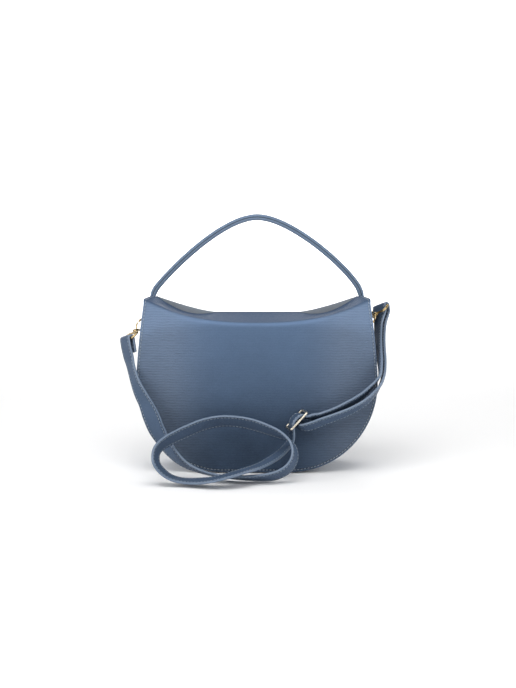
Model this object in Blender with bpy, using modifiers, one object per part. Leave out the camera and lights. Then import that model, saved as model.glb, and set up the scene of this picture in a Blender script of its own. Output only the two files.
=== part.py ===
"""Half-moon flap handbag with a rolled top handle and a clip-on shoulder strap.

X runs to the right, Y away from the front of the bag and Z up. The origin lies on the
floor, in the middle of the flat base. All lengths are in metres.
"""
from math import cos, pi, radians, sin, sqrt

import bmesh
import bpy
from mathutils import Vector

# Driving sizes of the bag
BAG_HALF_WIDTH = 0.125
BAG_HEIGHT = 0.181
BASE_DEPTH = 0.082
TOP_DEPTH = 0.054
WIDEST_HEIGHT = 0.094
FLAT_HALF_WIDTH = 0.035
FACE_CROWN = 0.003

# Outline of the flap and of the body behind it
FLAP_FLOOR_GAP = 0.0015
TOP_TAPER = 0.0076
TAPER_POWER = 1.5
FLAP_OVERHANG = 0.0103
FLAP_REAR_HALF_WIDTH = 0.111

# Saddle line of the top
CREASE_DIP = 0.0252
CREASE_POWER = 2.4
CREASE_ROUNDING = 0.006
BACK_EDGE_DIP = 0.020
BACK_EDGE_FLAT_SHARE = 0.40
BACK_EDGE_POWER = 1.3
BACK_EDGE_REVEAL = 0.006
REVEAL_END_SHARE = 0.86
FRONT_PANEL_DROP = 0.006
GUSSET_DROP = 0.011
GUSSET_FLAT_SHARE = 0.16
GUSSET_ROUND_SHARE = 0.68

# Leather, boards and cloth
CLEARANCE = 0.0003
FLAP_LEATHER = 0.0014
FLAP_BOARD = 0.0008
FLAP_LINING = 0.0008
SNAP_SPACE = 0.0036
PANEL_LEATHER = 0.0015
BODY_BOARD = 0.0010
CLOTH = 0.0006
BOARD_MARGIN = 0.010
BASE_BOARD = 0.0020
BASE_BOARD_HALF_WIDTH = 0.033

# Handle
HANDLE_HALF_SPAN = 0.1105
HANDLE_RISE = 0.079
HANDLE_RADIUS = 0.0034
HANDLE_FOOT_RADIUS = 0.0024
HANDLE_FOOT_RISE = 0.0030
HANDLE_FOOT_LENGTH = 0.0135
HANDLE_FOOT_SPREAD = 0.0024
HANDLE_NECK_LENGTH = 0.0060
HANDLE_BEND_SHARES = {
    "left": ((1.0, 0.0), (0.852, 0.268), (0.336, 1.0), (0.0, 1.0)),
    "right": ((1.0, 0.0), (0.920, 0.268), (0.336, 1.0), (0.0, 1.0)),
}
HANDLE_STEPS = 13
HANDLE_FOOT_ANGLES = (radians(80), radians(50), radians(22))
HANDLE_TAB_WIDTH = 0.014
HANDLE_TAB_LENGTH = 0.024
HANDLE_TAB_THICKNESS = 0.0020

# Magnetic snap
SNAP_HEIGHT = 0.045
SNAP_RADIUS = 0.008
SNAP_SOCKET_DEPTH = 0.0015
SNAP_STUD_DEPTH = 0.0008
SNAP_NUB_RADIUS = 0.0022
SNAP_NUB_LENGTH = 0.0009
SNAP_NUB_SLACK = 0.0006
SNAP_PLATE_RADIUS = 0.009
SNAP_WINDOW_SLACK = 0.0008

# Strap, cut flat and folded round the bars of its clasps
STRAP_WIDTH = 0.0195
STRAP_THICKNESS = 0.0026
STRAP_LEG_LENGTH = 0.006
STRAP_LAP_LENGTH = 0.015
STRAP_JOINT_GAP = 0.0006
STRAP_STEPS = 2
LAP_RIVET_SHARE = 0.68
LOOP_DEPTH = 0.082
FACE_SHARE = 0.5
FOLD_STEPS = 6

# D-rings and the leather tabs that hold them
RING_WIRE_RADIUS = 0.0012
RING_HALF_WIDTH = 0.008
RING_SIDE_LENGTH = 0.006
RING_ARC_STEPS = 12
RING_BAR_HEIGHT = 0.162
TAB_WIDTH = 0.0076
TAB_LEATHER = 0.0014
TAB_DROP = 0.019
TAB_SPREAD = 0.006
RIVET_RADIUS = 0.0026
RIVET_HEIGHT = 0.0012
RIVET_CROWN_SHARE = 0.7

# Swivel clasps, measured along their own axis from the ring wire to the eye's bar
CLASP_LENGTH = 0.0255
HOOK_WIRE_RADIUS = 0.0011
HOOK_BOW_RADIUS = 0.0046
HOOK_TIP_ANGLE = radians(205)
HOOK_NECK_START = 0.0098
HOOK_NECK_END = 0.0118
HOOK_KNOB_SHARE = 1.7
HOOK_BOW_STEPS = 10
HOOK_NECK_SHARES = ((0.35, 1.0), (0.62, 0.85), (0.84, 0.50), (1.0, 0.10))
GATE_RADIUS = 0.0008
GATE_PIVOT = (0.0092, -0.0012)
GATE_ELBOW = (0.0064, -0.0037)
GATE_TIP = (0.0034, -0.0045)
SWIVEL_RADIUS = 0.0026
SWIVEL_LENGTH = 0.0018
EYE_WIRE_RADIUS = 0.0012
EYE_SHOULDER = 0.0022

# Slider of the strap
SLIDER_WIRE_RADIUS = 0.0011
SLIDER_LENGTH = 0.0250
SLIDER_ROUNDING = 0.0015

# Detail of round shapes
WIRE_BEVEL_RESOLUTION = 2
TURN_STEPS = 24
CUT_OVERRUN = 0.002
MERGE_DISTANCE = 0.00005

# Directions of the rings and the clasps, one for each side of the bag
LEFT, RIGHT = -1, 1
SIDES = {"left": LEFT, "right": RIGHT}
RING_SWING = {"left": radians(36), "right": radians(37)}
HOOK_ON_ARC = {"left": radians(45), "right": radians(65)}
CLASP_DIRECTION = {"left": (-0.60, -0.55, -0.57), "right": (0.50, 0.70, 0.51)}
EYE_DIRECTION = {"left": (0.71, -0.54, 0.45), "right": (0.36, -0.92, 0.12)}
LEG_DIRECTION = {"left": (0.12, -0.15, -0.98), "right": (0.05, -0.30, -0.95)}

# Strap route from the left clasp to the right one. Each place is a share of the bag's
# half width, of its depth and of the rings' height, and the direction after it points
# across the strap, from its rear edge to its front edge. In front of the bag's face, at
# a share of a half, the depth goes on in shares of the reach of the strap's loops.
LEFT_RUN_SHARES = (
    ((-1.068, -0.275, 0.7374), (0.52, -0.80, 0.25)),
    ((-1.046, -0.341, 0.6793), (0.44, -0.87, 0.22)),
    ((-1.008, -0.449, 0.5977), (0.51, -0.84, 0.19)),
    ((-0.956, -0.534, 0.5162), (0.71, -0.68, 0.17)),
    ((-0.904, -0.598, 0.4491), (0.85, -0.51, 0.12)),
    ((-0.864, -0.646, 0.3754), (0.92, -0.35, 0.17)),
    ((-0.820, -0.665, 0.2950), (0.84, -0.44, 0.30)),
    ((-0.758, -0.700, 0.2212), (0.62, -0.64, 0.45)),
    ((-0.686, -0.770, 0.1542), (0.46, -0.77, 0.43)),
    ((-0.588, -0.860, 0.0983), (0.30, -0.88, 0.36)),
)
FLOOR_RUN_SHARES = (
    ((-0.464, -0.945, 0.0648), (0.12, -0.93, 0.30)),
    ((-0.346, -1.005, 0.0469), (0.03, -0.95, 0.28)),
    ((-0.224, -1.050, 0.0380), (0.00, -0.95, 0.30)),
    ((-0.096, -1.080, 0.0369), (0.00, -0.92, 0.38)),
    ((0.016, -1.095, 0.0402), (-0.10, -0.88, 0.46)),
    ((0.122, -1.105, 0.0492), (-0.21, -0.82, 0.54)),
)
CURL_SHARES = (
    ((0.206, -1.085, 0.0715), (-0.27, -0.82, 0.50)),
    ((0.268, -1.060, 0.1061), (-0.33, -0.83, 0.45)),
    ((0.302, -1.010, 0.1520), (-0.33, -0.88, 0.35)),
    ((0.304, -0.958, 0.2011), (-0.26, -0.95, 0.20)),
    ((0.280, -0.900, 0.2391), (-0.10, -0.98, 0.16)),
    ((0.238, -0.840, 0.2670), (-0.02, -0.95, 0.32)),
    ((0.168, -0.785, 0.2894), (0.04, -0.84, 0.54)),
    ((0.076, -0.740, 0.3128), (0.07, -0.76, 0.64)),
)
LOOP_TOP_SHARES = (
    ((-0.012, -0.712, 0.3330), (0.05, -0.71, 0.70)),
    ((-0.100, -0.695, 0.3486), (0.03, -0.72, 0.70)),
    ((-0.188, -0.690, 0.3575), (0.01, -0.72, 0.69)),
    ((-0.278, -0.690, 0.3598), (-0.01, -0.72, 0.70)),
    ((-0.366, -0.705, 0.3519), (-0.05, -0.71, 0.71)),
    ((-0.454, -0.745, 0.3374), (-0.10, -0.69, 0.72)),
    ((-0.540, -0.800, 0.3151), (-0.16, -0.69, 0.71)),
    ((-0.622, -0.865, 0.2916), (-0.23, -0.70, 0.68)),
)
LOOP_TURN_SHARES = (
    ((-0.702, -0.945, 0.2681), (-0.23, -0.73, 0.64)),
    ((-0.768, -1.020, 0.2413), (-0.21, -0.79, 0.58)),
    ((-0.806, -1.090, 0.2123), (-0.24, -0.84, 0.48)),
    ((-0.816, -1.145, 0.1788), (-0.28, -0.91, 0.32)),
    ((-0.808, -1.185, 0.1408), (-0.29, -0.93, 0.23)),
    ((-0.772, -1.205, 0.1017), (-0.30, -0.94, 0.15)),
    ((-0.718, -1.210, 0.0659), (-0.28, -0.95, 0.10)),
    ((-0.650, -1.210, 0.0425), (-0.20, -0.98, 0.04)),
    ((-0.570, -1.220, 0.0335), (-0.12, -0.99, 0.00)),
)
RISE_SHARES = (
    ((-0.468, -1.270, 0.0380), (-0.04, -1.00, -0.04)),
    ((-0.360, -1.340, 0.0547), (0.04, -1.00, -0.01)),
    ((-0.268, -1.360, 0.0737), (0.08, -1.00, 0.01)),
    ((-0.184, -1.320, 0.0883), (0.12, -0.99, 0.00)),
    ((-0.090, -1.225, 0.1006), (0.11, -0.99, 0.01)),
    ((0.004, -1.100, 0.1106), (0.16, -0.99, -0.02)),
    ((0.094, -0.940, 0.1274), (0.20, -0.98, -0.08)),
    ((0.178, -0.785, 0.1542), (0.27, -0.96, -0.07)),
    ((0.250, -0.660, 0.1966), (0.27, -0.96, 0.01)),
    ((0.283, -0.645, 0.2380), (0.22, -0.97, 0.06)),
)
SLIDER_TURN_SHARES = (
    ((0.288, -0.657, 0.2816), (0.20, -0.97, 0.07)),
    ((0.284, -0.661, 0.3218), (0.20, -0.98, 0.05)),
    ((0.289, -0.659, 0.3564), (0.20, -0.98, 0.05)),
    ((0.310, -0.652, 0.3776), (0.20, -0.98, 0.05)),
    ((0.339, -0.642, 0.3944), (0.19, -0.98, 0.07)),
    ((0.374, -0.634, 0.3922), (0.15, -0.97, 0.17)),
    ((0.412, -0.634, 0.3799), (0.06, -0.95, 0.28)),
)
UPPER_PLY_SHARES = (
    ((0.458, -0.628, 0.3788), (-0.02, -0.88, 0.47)),
    ((0.516, -0.622, 0.3821), (-0.03, -0.86, 0.51)),
    ((0.630, -0.616, 0.4145), (-0.02, -0.86, 0.50)),
    ((0.745, -0.604, 0.4570), (-0.05, -0.86, 0.50)),
    ((0.850, -0.591, 0.5050), (-0.05, -0.87, 0.49)),
    ((0.921, -0.570, 0.5519), (-0.08, -0.91, 0.40)),
    ((0.976, -0.540, 0.5966), (-0.05, -0.95, 0.30)),
)
UPPER_RISE_SHARES = (
    ((1.012, -0.527, 0.6391), (0.02, -0.96, 0.28)),
    ((1.021, -0.420, 0.6972), (0.10, -0.82, 0.56)),
    ((1.018, -0.285, 0.7564), (0.16, -0.77, 0.62)),
    ((1.016, -0.165, 0.8145), (0.21, -0.78, 0.59)),
    ((1.018, -0.043, 0.8737), (0.28, -0.82, 0.49)),
    ((1.024, 0.043, 0.9318), (0.34, -0.86, 0.35)),
)
LOWER_PLY_SHARES = (
    ((0.338, -0.648, 0.3251), (0.10, -0.95, 0.28)),
    ((0.368, -0.652, 0.3184), (0.02, -0.91, 0.42)),
    ((0.408, -0.658, 0.3184), (-0.06, -0.84, 0.54)),
    ((0.464, -0.662, 0.3296), (-0.05, -0.81, 0.58)),
    ((0.513, -0.667, 0.3452), (-0.03, -0.81, 0.58)),
    ((0.630, -0.666, 0.3788), (-0.01, -0.83, 0.55)),
    ((0.748, -0.652, 0.4134), (-0.03, -0.85, 0.52)),
    ((0.849, -0.639, 0.4536), (-0.05, -0.87, 0.48)),
    ((0.919, -0.613, 0.4916), (-0.10, -0.90, 0.40)),
    ((0.975, -0.589, 0.5363), (-0.12, -0.94, 0.31)),
)
LOWER_RISE_SHARES = (
    ((1.014, -0.565, 0.5810), (0.00, -0.97, 0.22)),
    ((1.040, -0.505, 0.6324), (0.08, -0.93, 0.36)),
    ((1.050, -0.388, 0.6916), (0.12, -0.80, 0.58)),
    ((1.048, -0.256, 0.7497), (0.16, -0.77, 0.62)),
    ((1.047, -0.128, 0.8089), (0.21, -0.78, 0.59)),
    ((1.050, -0.006, 0.8670), (0.28, -0.82, 0.49)),
    ((1.058, 0.079, 0.9262), (0.34, -0.86, 0.35)),
)
SLIDER_PLACE_SHARES = (0.324, -0.650, 0.3631)
SLIDER_DIRECTION = (0.68, 0.17, 0.71)
SLIDER_WIDTH_DIRECTION = (0.20, -0.98, 0.05)


def clear_scene():
    for old in list(bpy.data.objects):
        bpy.data.objects.remove(old, do_unlink=True)


def new_collection(name):
    collection = bpy.data.collections.new(name)
    bpy.context.scene.collection.children.link(collection)
    return collection


def new_material(name, colour, roughness, metallic):
    material = bpy.data.materials.new(name)
    material.use_nodes = True
    shader = material.node_tree.nodes["Principled BSDF"]
    shader.inputs["Base Color"].default_value = (*colour, 1.0)
    shader.inputs["Roughness"].default_value = roughness
    shader.inputs["Metallic"].default_value = metallic
    return material


BLUE_LEATHER = ("blue_leather", (0.100, 0.145, 0.215), 0.55, 0.0)
SUEDE = ("suede_lining", (0.130, 0.150, 0.180), 0.90, 0.0)
CLOTH_LINING = ("cloth_lining", (0.150, 0.160, 0.175), 0.85, 0.0)
BOARD = ("stiffening_board", (0.480, 0.440, 0.370), 0.80, 0.0)
GOLD = ("pale_gold", (0.720, 0.560, 0.330), 0.25, 1.0)
STEEL = ("plated_steel", (0.600, 0.590, 0.560), 0.30, 1.0)


def finish(thing, name, look):
    """Name the object, give it its own material and put it with the bag's parts."""
    thing.name = name
    thing.data.name = name
    label, colour, roughness, metallic = look
    thing.data.materials.clear()
    thing.data.materials.append(new_material(f"{name}_{label}", colour, roughness, metallic))
    for old in list(thing.users_collection):
        old.objects.unlink(thing)
    parts.objects.link(thing)
    return thing


def make_cutter(thing, name):
    thing.name = name
    thing.hide_render = True
    thing.display_type = "WIRE"
    for old in list(thing.users_collection):
        old.objects.unlink(thing)
    cutters.objects.link(thing)
    return thing


def subtract(thing, cutter):
    cut = thing.modifiers.new("cut", "BOOLEAN")
    cut.operation = "DIFFERENCE"
    cut.solver = "EXACT"
    cut.object = cutter


def surface(name, columns, rows, place, look, thickness, offset):
    """A grid whose points are moved to place(u, v), u from -1 to 1 and v from 0 to 1."""
    bpy.ops.mesh.primitive_grid_add(x_subdivisions=columns, y_subdivisions=rows, size=2.0)
    sheet = bpy.context.object
    for vertex in sheet.data.vertices:
        u, v = vertex.co.x, (vertex.co.y + 1.0) / 2.0
        vertex.co = place(u, v)
    wall = sheet.modifiers.new("wall", "SOLIDIFY")
    wall.thickness = thickness
    wall.offset = offset
    wall.use_even_offset = True
    sheet.data.shade_smooth()
    sheet.data.set_sharp_from_angle(angle=radians(40))
    return finish(sheet, name, look)


def tube(name, points, radius, look, closed=False, radii=None):
    """A round wire along the points, with a share of the radius for each point."""
    data = bpy.data.curves.new(name, "CURVE")
    data.dimensions = "3D"
    data.bevel_depth = radius
    data.bevel_resolution = WIRE_BEVEL_RESOLUTION
    data.use_fill_caps = not closed
    spline = data.splines.new("POLY")
    spline.points.add(len(points) - 1)
    for index, point in enumerate(points):
        spline.points[index].co = (*point, 1.0)
        spline.points[index].radius = radii[index] if radii else 1.0
    spline.use_cyclic_u = closed
    return finish(bpy.data.objects.new(name, data), name, look)


def turned(name, profile, place, direction, look):
    """A profile of (radius, height) pairs, listed top to bottom, turned round an axis."""
    mesh = bpy.data.meshes.new(name)
    shape = bmesh.new()
    corners = [shape.verts.new((radius, 0.0, height)) for radius, height in profile]
    for first, second in zip(corners, corners[1:]):
        shape.edges.new((first, second))
    shape.to_mesh(mesh)
    shape.free()
    thing = bpy.data.objects.new(name, mesh)
    screw = thing.modifiers.new("turn", "SCREW")
    screw.steps = TURN_STEPS
    screw.render_steps = TURN_STEPS
    screw.use_merge_vertices = True
    screw.merge_threshold = MERGE_DISTANCE
    screw.use_smooth_shade = False
    thing.location = place
    thing.rotation_euler = Vector(direction).to_track_quat("Z", "Y").to_euler()
    return finish(thing, name, look)


def share_place(shares):
    """Half widths sideways, ring heights up, and depths up to the face, then loop reach."""
    x, y, z = shares
    in_front = min(0.0, y + FACE_SHARE)
    return Vector((x * BAG_HALF_WIDTH, (y - in_front) * BASE_DEPTH + in_front * LOOP_DEPTH,
                   z * RING_BAR_HEIGHT))


# Outline, crease and faces of the bag

def half_width(z, inset, bottom):
    """Half the width of an outline at height z, drawn in by the inset."""
    widest = BAG_HALF_WIDTH - inset
    if z >= WIDEST_HEIGHT:
        rise = (z - WIDEST_HEIGHT) / (BAG_HEIGHT - WIDEST_HEIGHT)
        return widest - TOP_TAPER * rise ** TAPER_POWER
    drop = (WIDEST_HEIGHT - z) / (WIDEST_HEIGHT - bottom)
    return FLAT_HALF_WIDTH + (widest - FLAT_HALF_WIDTH) * sqrt(max(0.0, 1.0 - drop * drop))


def crease_height(x):
    share = min(1.0, abs(x) / (BAG_HALF_WIDTH - TOP_TAPER))
    return BAG_HEIGHT - CREASE_DIP * (1.0 - share ** CREASE_POWER)


def back_edge_height(x):
    share = min(1.0, abs(x) / (BAG_HALF_WIDTH - FLAP_OVERHANG))
    climb = max(0.0, share - BACK_EDGE_FLAT_SHARE) / (1.0 - BACK_EDGE_FLAT_SHARE)
    return BAG_HEIGHT - BACK_EDGE_DIP * (1.0 - climb ** BACK_EDGE_POWER)


def flap_seam_height(x):
    """Where the flap meets the back panel, below its edge by a crescent on each side."""
    share = min(1.0, abs(x) / (BAG_HALF_WIDTH - FLAP_OVERHANG))
    climb = max(0.0, share - BACK_EDGE_FLAT_SHARE) / (1.0 - BACK_EDGE_FLAT_SHARE)
    reveal = BACK_EDGE_REVEAL * sin(pi * min(1.0, climb / REVEAL_END_SHARE))
    return back_edge_height(x) - reveal - FLAP_LEATHER / 2.0


def face_depth(x, z):
    """Distance of the front and back faces from the middle plane."""
    taper = (BASE_DEPTH - TOP_DEPTH) / 2.0 * z / BAG_HEIGHT
    across = 1.0 - (x / BAG_HALF_WIDTH) ** 2
    upright = sin(pi * min(1.0, max(0.0, z / BAG_HEIGHT)))
    return BASE_DEPTH / 2.0 - taper + FACE_CROWN * across * upright


def front_y(x, z, layer):
    return -face_depth(x, z) + layer


def back_y(x, z, layer):
    return face_depth(x, z) - layer


FRONT_PANEL_LAYER = FLAP_LEATHER + FLAP_BOARD + FLAP_LINING + 2 * CLEARANCE + SNAP_SPACE
FRONT_BOARD_LAYER = FRONT_PANEL_LAYER + PANEL_LEATHER + CLEARANCE
FRONT_CLOTH_LAYER = FRONT_BOARD_LAYER + BODY_BOARD + CLEARANCE
BACK_BOARD_LAYER = PANEL_LEATHER + CLEARANCE
BACK_CLOTH_LAYER = BACK_BOARD_LAYER + BODY_BOARD + CLEARANCE
GUSSET_CLOTH_INSET = PANEL_LEATHER + CLEARANCE
INNER_INSET = GUSSET_CLOTH_INSET + BASE_BOARD + CLOTH + 2 * CLEARANCE

LOWER_ROWS = 7
UPPER_ROWS = 4


def panel_height_and_side(v, inset, bottom):
    """Level and half width of a panel's row, v from 0 at the base to 1 at the top."""
    split = LOWER_ROWS / (LOWER_ROWS + UPPER_ROWS)
    if v <= split:
        angle = pi / 2.0 * v / split
        level = WIDEST_HEIGHT - (WIDEST_HEIGHT - bottom) * cos(angle)
        side = FLAT_HALF_WIDTH + (BAG_HALF_WIDTH - inset - FLAT_HALF_WIDTH) * sin(angle)
        return level, side
    rise = (v - split) / (1.0 - split)
    level = WIDEST_HEIGHT + (BAG_HEIGHT - WIDEST_HEIGHT) * rise
    return level, half_width(level, inset, bottom)


def panel(name, front, layer, inset, bottom, top_edge, look, thickness, columns):
    """A half-moon panel that follows the front or the back of the bag."""
    def place(u, v):
        level, side = panel_height_and_side(v, inset, bottom)
        x = (u if front else -u) * side
        z = level
        if level > WIDEST_HEIGHT:
            rise = (level - WIDEST_HEIGHT) / (BAG_HEIGHT - WIDEST_HEIGHT)
            z = WIDEST_HEIGHT + rise * (top_edge(x) - WIDEST_HEIGHT)
        y = front_y(x, z, layer) if front else back_y(x, z, layer)
        return Vector((x, y, z))
    return surface(name, columns, LOWER_ROWS + UPPER_ROWS, place, look, thickness, -1.0)


# Flap

LEAF_ROWS = LOWER_ROWS + UPPER_ROWS
BEND_ROWS = 4
TOP_ROWS = 3
FLAP_ROWS = LEAF_ROWS + BEND_ROWS + TOP_ROWS


def flap_rear_y(x):
    return back_y(x, flap_seam_height(x), PANEL_LEATHER + CLEARANCE)


def flap_place(u, row, layer, inset, rear_gap):
    """A point of the flap: up the front leaf, round the crease and back over the top."""
    bottom = FLAP_FLOOR_GAP + inset
    side = half_width(BAG_HEIGHT, inset, bottom)
    x = u * side
    corner_z = crease_height(x) - layer
    corner = Vector((x, front_y(x, corner_z, layer), corner_z))
    rear_x = u * (FLAP_REAR_HALF_WIDTH - inset)
    rear = Vector((rear_x, flap_rear_y(rear_x) - rear_gap, flap_seam_height(rear_x) - layer))
    along = (rear - corner).normalized()
    bend_end = corner + along * CREASE_ROUNDING
    leaf_top = corner_z - CREASE_ROUNDING
    if row <= LEAF_ROWS:
        level, half = panel_height_and_side(row / LEAF_ROWS, inset, bottom)
        x = u * half
        z = level
        if level > WIDEST_HEIGHT:
            rise = (level - WIDEST_HEIGHT) / (BAG_HEIGHT - WIDEST_HEIGHT)
            z = WIDEST_HEIGHT + rise * (leaf_top - WIDEST_HEIGHT)
        return Vector((x, front_y(x, z, layer), z))
    if row <= LEAF_ROWS + BEND_ROWS:
        t = (row - LEAF_ROWS) / BEND_ROWS
        start = Vector((corner.x, front_y(corner.x, leaf_top, layer), leaf_top))
        return start * (1 - t) ** 2 + corner * 2 * t * (1 - t) + bend_end * t * t
    t = (row - LEAF_ROWS - BEND_ROWS) / TOP_ROWS
    return bend_end.lerp(rear, t)


def flap_sheet(name, layer, inset, rear_gap, look, thickness, columns):
    def place(u, v):
        return flap_place(u, v * FLAP_ROWS, layer, inset, rear_gap)
    return surface(name, columns, FLAP_ROWS, place, look, thickness, -1.0)


def build_flap():
    flap_sheet("flap_leather", 0.0, 0.0, 0.0, BLUE_LEATHER, FLAP_LEATHER, 16)
    lining_layer = FLAP_LEATHER + FLAP_BOARD + 2 * CLEARANCE
    lining_inset = FLAP_LINING
    flap_sheet("flap_lining", lining_layer, lining_inset, 0.0, SUEDE, FLAP_LINING, 16)
    board = panel("flap_board", True, FLAP_LEATHER + CLEARANCE, BOARD_MARGIN,
                  FLAP_FLOOR_GAP + BOARD_MARGIN, flap_board_top, BOARD, FLAP_BOARD, 12)
    subtract(board, snap_window("flap_window", FLAP_LEATHER + FLAP_BOARD / 2))


def flap_board_top(x):
    return crease_height(x) - CREASE_ROUNDING - BOARD_MARGIN


# Body

def body_front_top(x):
    return crease_height(x) - FRONT_PANEL_DROP


def front_board_top(x):
    return body_front_top(x) - BOARD_MARGIN


def back_board_top(x):
    return back_edge_height(x) - HANDLE_TAB_LENGTH


def cloth_front_top(x):
    return body_front_top(x) - CLEARANCE


def cloth_back_top(x):
    return flap_seam_height(x) - GUSSET_DROP


def gusset_wall(name, inset, front_layer, back_layer, look, thickness):
    """The U-shaped band between the front and back panels, seen from the front as a U."""
    steps = 2 * (LOWER_ROWS + 3)

    def place(u, v):
        along = 2.0 * v - 1.0
        side = LEFT if along < 0 else RIGHT
        reach = abs(along)
        if reach <= GUSSET_FLAT_SHARE:
            x, z = side * FLAT_HALF_WIDTH * reach / GUSSET_FLAT_SHARE, inset
        else:
            share = (reach - GUSSET_FLAT_SHARE) / (1.0 - GUSSET_FLAT_SHARE)
            top = BAG_HEIGHT - GUSSET_DROP
            split = GUSSET_ROUND_SHARE
            if share <= split:
                angle = pi / 2.0 * share / split
                z = WIDEST_HEIGHT - (WIDEST_HEIGHT - inset) * cos(angle)
                widest = BAG_HALF_WIDTH - FLAP_OVERHANG - inset
                x = side * (FLAT_HALF_WIDTH + (widest - FLAT_HALF_WIDTH) * sin(angle))
            else:
                rise = (share - split) / (1.0 - split)
                z = WIDEST_HEIGHT + (top - WIDEST_HEIGHT) * rise
                x = side * half_width(z, FLAP_OVERHANG + inset, inset)
        near = front_y(x, z, front_layer)
        far = back_y(x, z, back_layer)
        return Vector((x, near + (far - near) * (u + 1.0) / 2.0, z))
    return surface(name, 2, steps, place, look, thickness, -1.0)


def build_body():
    front_inside = FRONT_PANEL_LAYER + PANEL_LEATHER + CLEARANCE
    back_inside = PANEL_LEATHER + CLEARANCE
    panel("front_panel", True, FRONT_PANEL_LAYER, FLAP_OVERHANG, 0.0, body_front_top,
          BLUE_LEATHER, PANEL_LEATHER, 14)
    panel("back_panel", False, 0.0, FLAP_OVERHANG, 0.0, back_edge_height,
          BLUE_LEATHER, PANEL_LEATHER, 16)
    gusset_wall("gusset", 0.0, front_inside, back_inside, BLUE_LEATHER, PANEL_LEATHER)
    gusset_wall("gusset_lining", GUSSET_CLOTH_INSET, front_inside, back_inside,
                CLOTH_LINING, CLOTH)
    build_base_board(front_inside, back_inside)
    board_inset = FLAP_OVERHANG + INNER_INSET
    board = panel("front_board", True, FRONT_BOARD_LAYER, board_inset, INNER_INSET,
                  front_board_top, BOARD, BODY_BOARD, 12)
    subtract(board, snap_window("front_window", FRONT_BOARD_LAYER + BODY_BOARD / 2))
    panel("back_board", False, BACK_BOARD_LAYER, board_inset, INNER_INSET,
          back_board_top, BOARD, BODY_BOARD, 12)
    panel("front_lining", True, FRONT_CLOTH_LAYER, board_inset, INNER_INSET,
          cloth_front_top, CLOTH_LINING, CLOTH, 12)
    panel("back_lining", False, BACK_CLOTH_LAYER, board_inset, INNER_INSET,
          cloth_back_top, CLOTH_LINING, CLOTH, 12)


def build_base_board(front_layer, back_layer):
    level = GUSSET_CLOTH_INSET + CLOTH + CLEARANCE

    def place(u, v):
        x = u * BASE_BOARD_HALF_WIDTH
        near = front_y(x, level, front_layer)
        far = back_y(x, level, back_layer)
        return Vector((x, near + (far - near) * v, level))
    surface("base_board", 6, 1, place, BOARD, BASE_BOARD, 1.0)


# Snap

def face_frame(x, z, layer):
    """A point of a front layer and the layer's outward direction there."""
    step = SNAP_RADIUS / 2
    middle = Vector((x, front_y(x, z, layer), z))
    up = Vector((x, front_y(x, z + step, layer), z + step)) - middle
    across = Vector((x + step, front_y(x + step, z, layer), z)) - middle
    return middle, across.cross(up).normalized()


def snap_window(name, layer):
    place, outward = face_frame(0.0, SNAP_HEIGHT, layer)
    depth = 2 * (BODY_BOARD + CUT_OVERRUN)
    bpy.ops.mesh.primitive_cylinder_add(
        vertices=TURN_STEPS, radius=SNAP_PLATE_RADIUS + SNAP_WINDOW_SLACK, depth=depth,
        location=place, rotation=outward.to_track_quat("Z", "Y").to_euler())
    return make_cutter(bpy.context.object, name)


def disc_profile(radius, height):
    return ((0.0, height), (radius, height), (radius, 0.0), (0.0, 0.0))


def rivet_profile():
    crown = RIVET_RADIUS * RIVET_CROWN_SHARE
    return ((0.0, RIVET_HEIGHT), (crown, RIVET_HEIGHT), (RIVET_RADIUS, RIVET_HEIGHT / 2),
            (RIVET_RADIUS, 0.0), (0.0, 0.0))


def build_snap():
    layer = FLAP_LEATHER + FLAP_BOARD + FLAP_LINING + 2 * CLEARANCE
    inside, outward = face_frame(0.0, SNAP_HEIGHT, layer)
    stud_profile = (
        (0.0, SNAP_STUD_DEPTH + SNAP_NUB_LENGTH),
        (SNAP_NUB_RADIUS, SNAP_STUD_DEPTH + SNAP_NUB_LENGTH),
        (SNAP_NUB_RADIUS, SNAP_STUD_DEPTH),
        (SNAP_RADIUS, SNAP_STUD_DEPTH),
        (SNAP_RADIUS, 0.0),
        (0.0, 0.0),
    )
    turned("snap_stud", stud_profile, inside - outward * CLEARANCE, -outward, GOLD)
    panel_face, outward = face_frame(0.0, SNAP_HEIGHT, FRONT_PANEL_LAYER)
    hole = SNAP_NUB_RADIUS + SNAP_NUB_SLACK
    hole_floor = SNAP_SOCKET_DEPTH - SNAP_NUB_LENGTH
    socket_profile = (
        (0.0, hole_floor),
        (hole, hole_floor),
        (hole, SNAP_SOCKET_DEPTH),
        (SNAP_RADIUS, SNAP_SOCKET_DEPTH),
        (SNAP_RADIUS, 0.0),
        (0.0, 0.0),
    )
    turned("snap_socket", socket_profile, panel_face + outward * CLEARANCE, outward, GOLD)
    plate, outward = face_frame(0.0, SNAP_HEIGHT, FRONT_BOARD_LAYER)
    turned("snap_socket_plate", disc_profile(SNAP_PLATE_RADIUS, BODY_BOARD),
           plate - outward * BODY_BOARD, outward, STEEL)
    plate, outward = face_frame(0.0, SNAP_HEIGHT, FLAP_LEATHER + CLEARANCE)
    turned("snap_stud_plate", disc_profile(SNAP_PLATE_RADIUS, FLAP_BOARD),
           plate - outward * FLAP_BOARD, outward, STEEL)


# Handle

def handle_foot():
    """Middle of the right foot of the handle, which sits behind the back panel above its tab."""
    x = HANDLE_HALF_SPAN + HANDLE_FOOT_SPREAD
    z = back_edge_height(HANDLE_HALF_SPAN) + HANDLE_FOOT_RISE - HANDLE_FOOT_LENGTH
    return Vector((x, back_y(x, z, -CLEARANCE - HANDLE_RADIUS), z))


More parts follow.
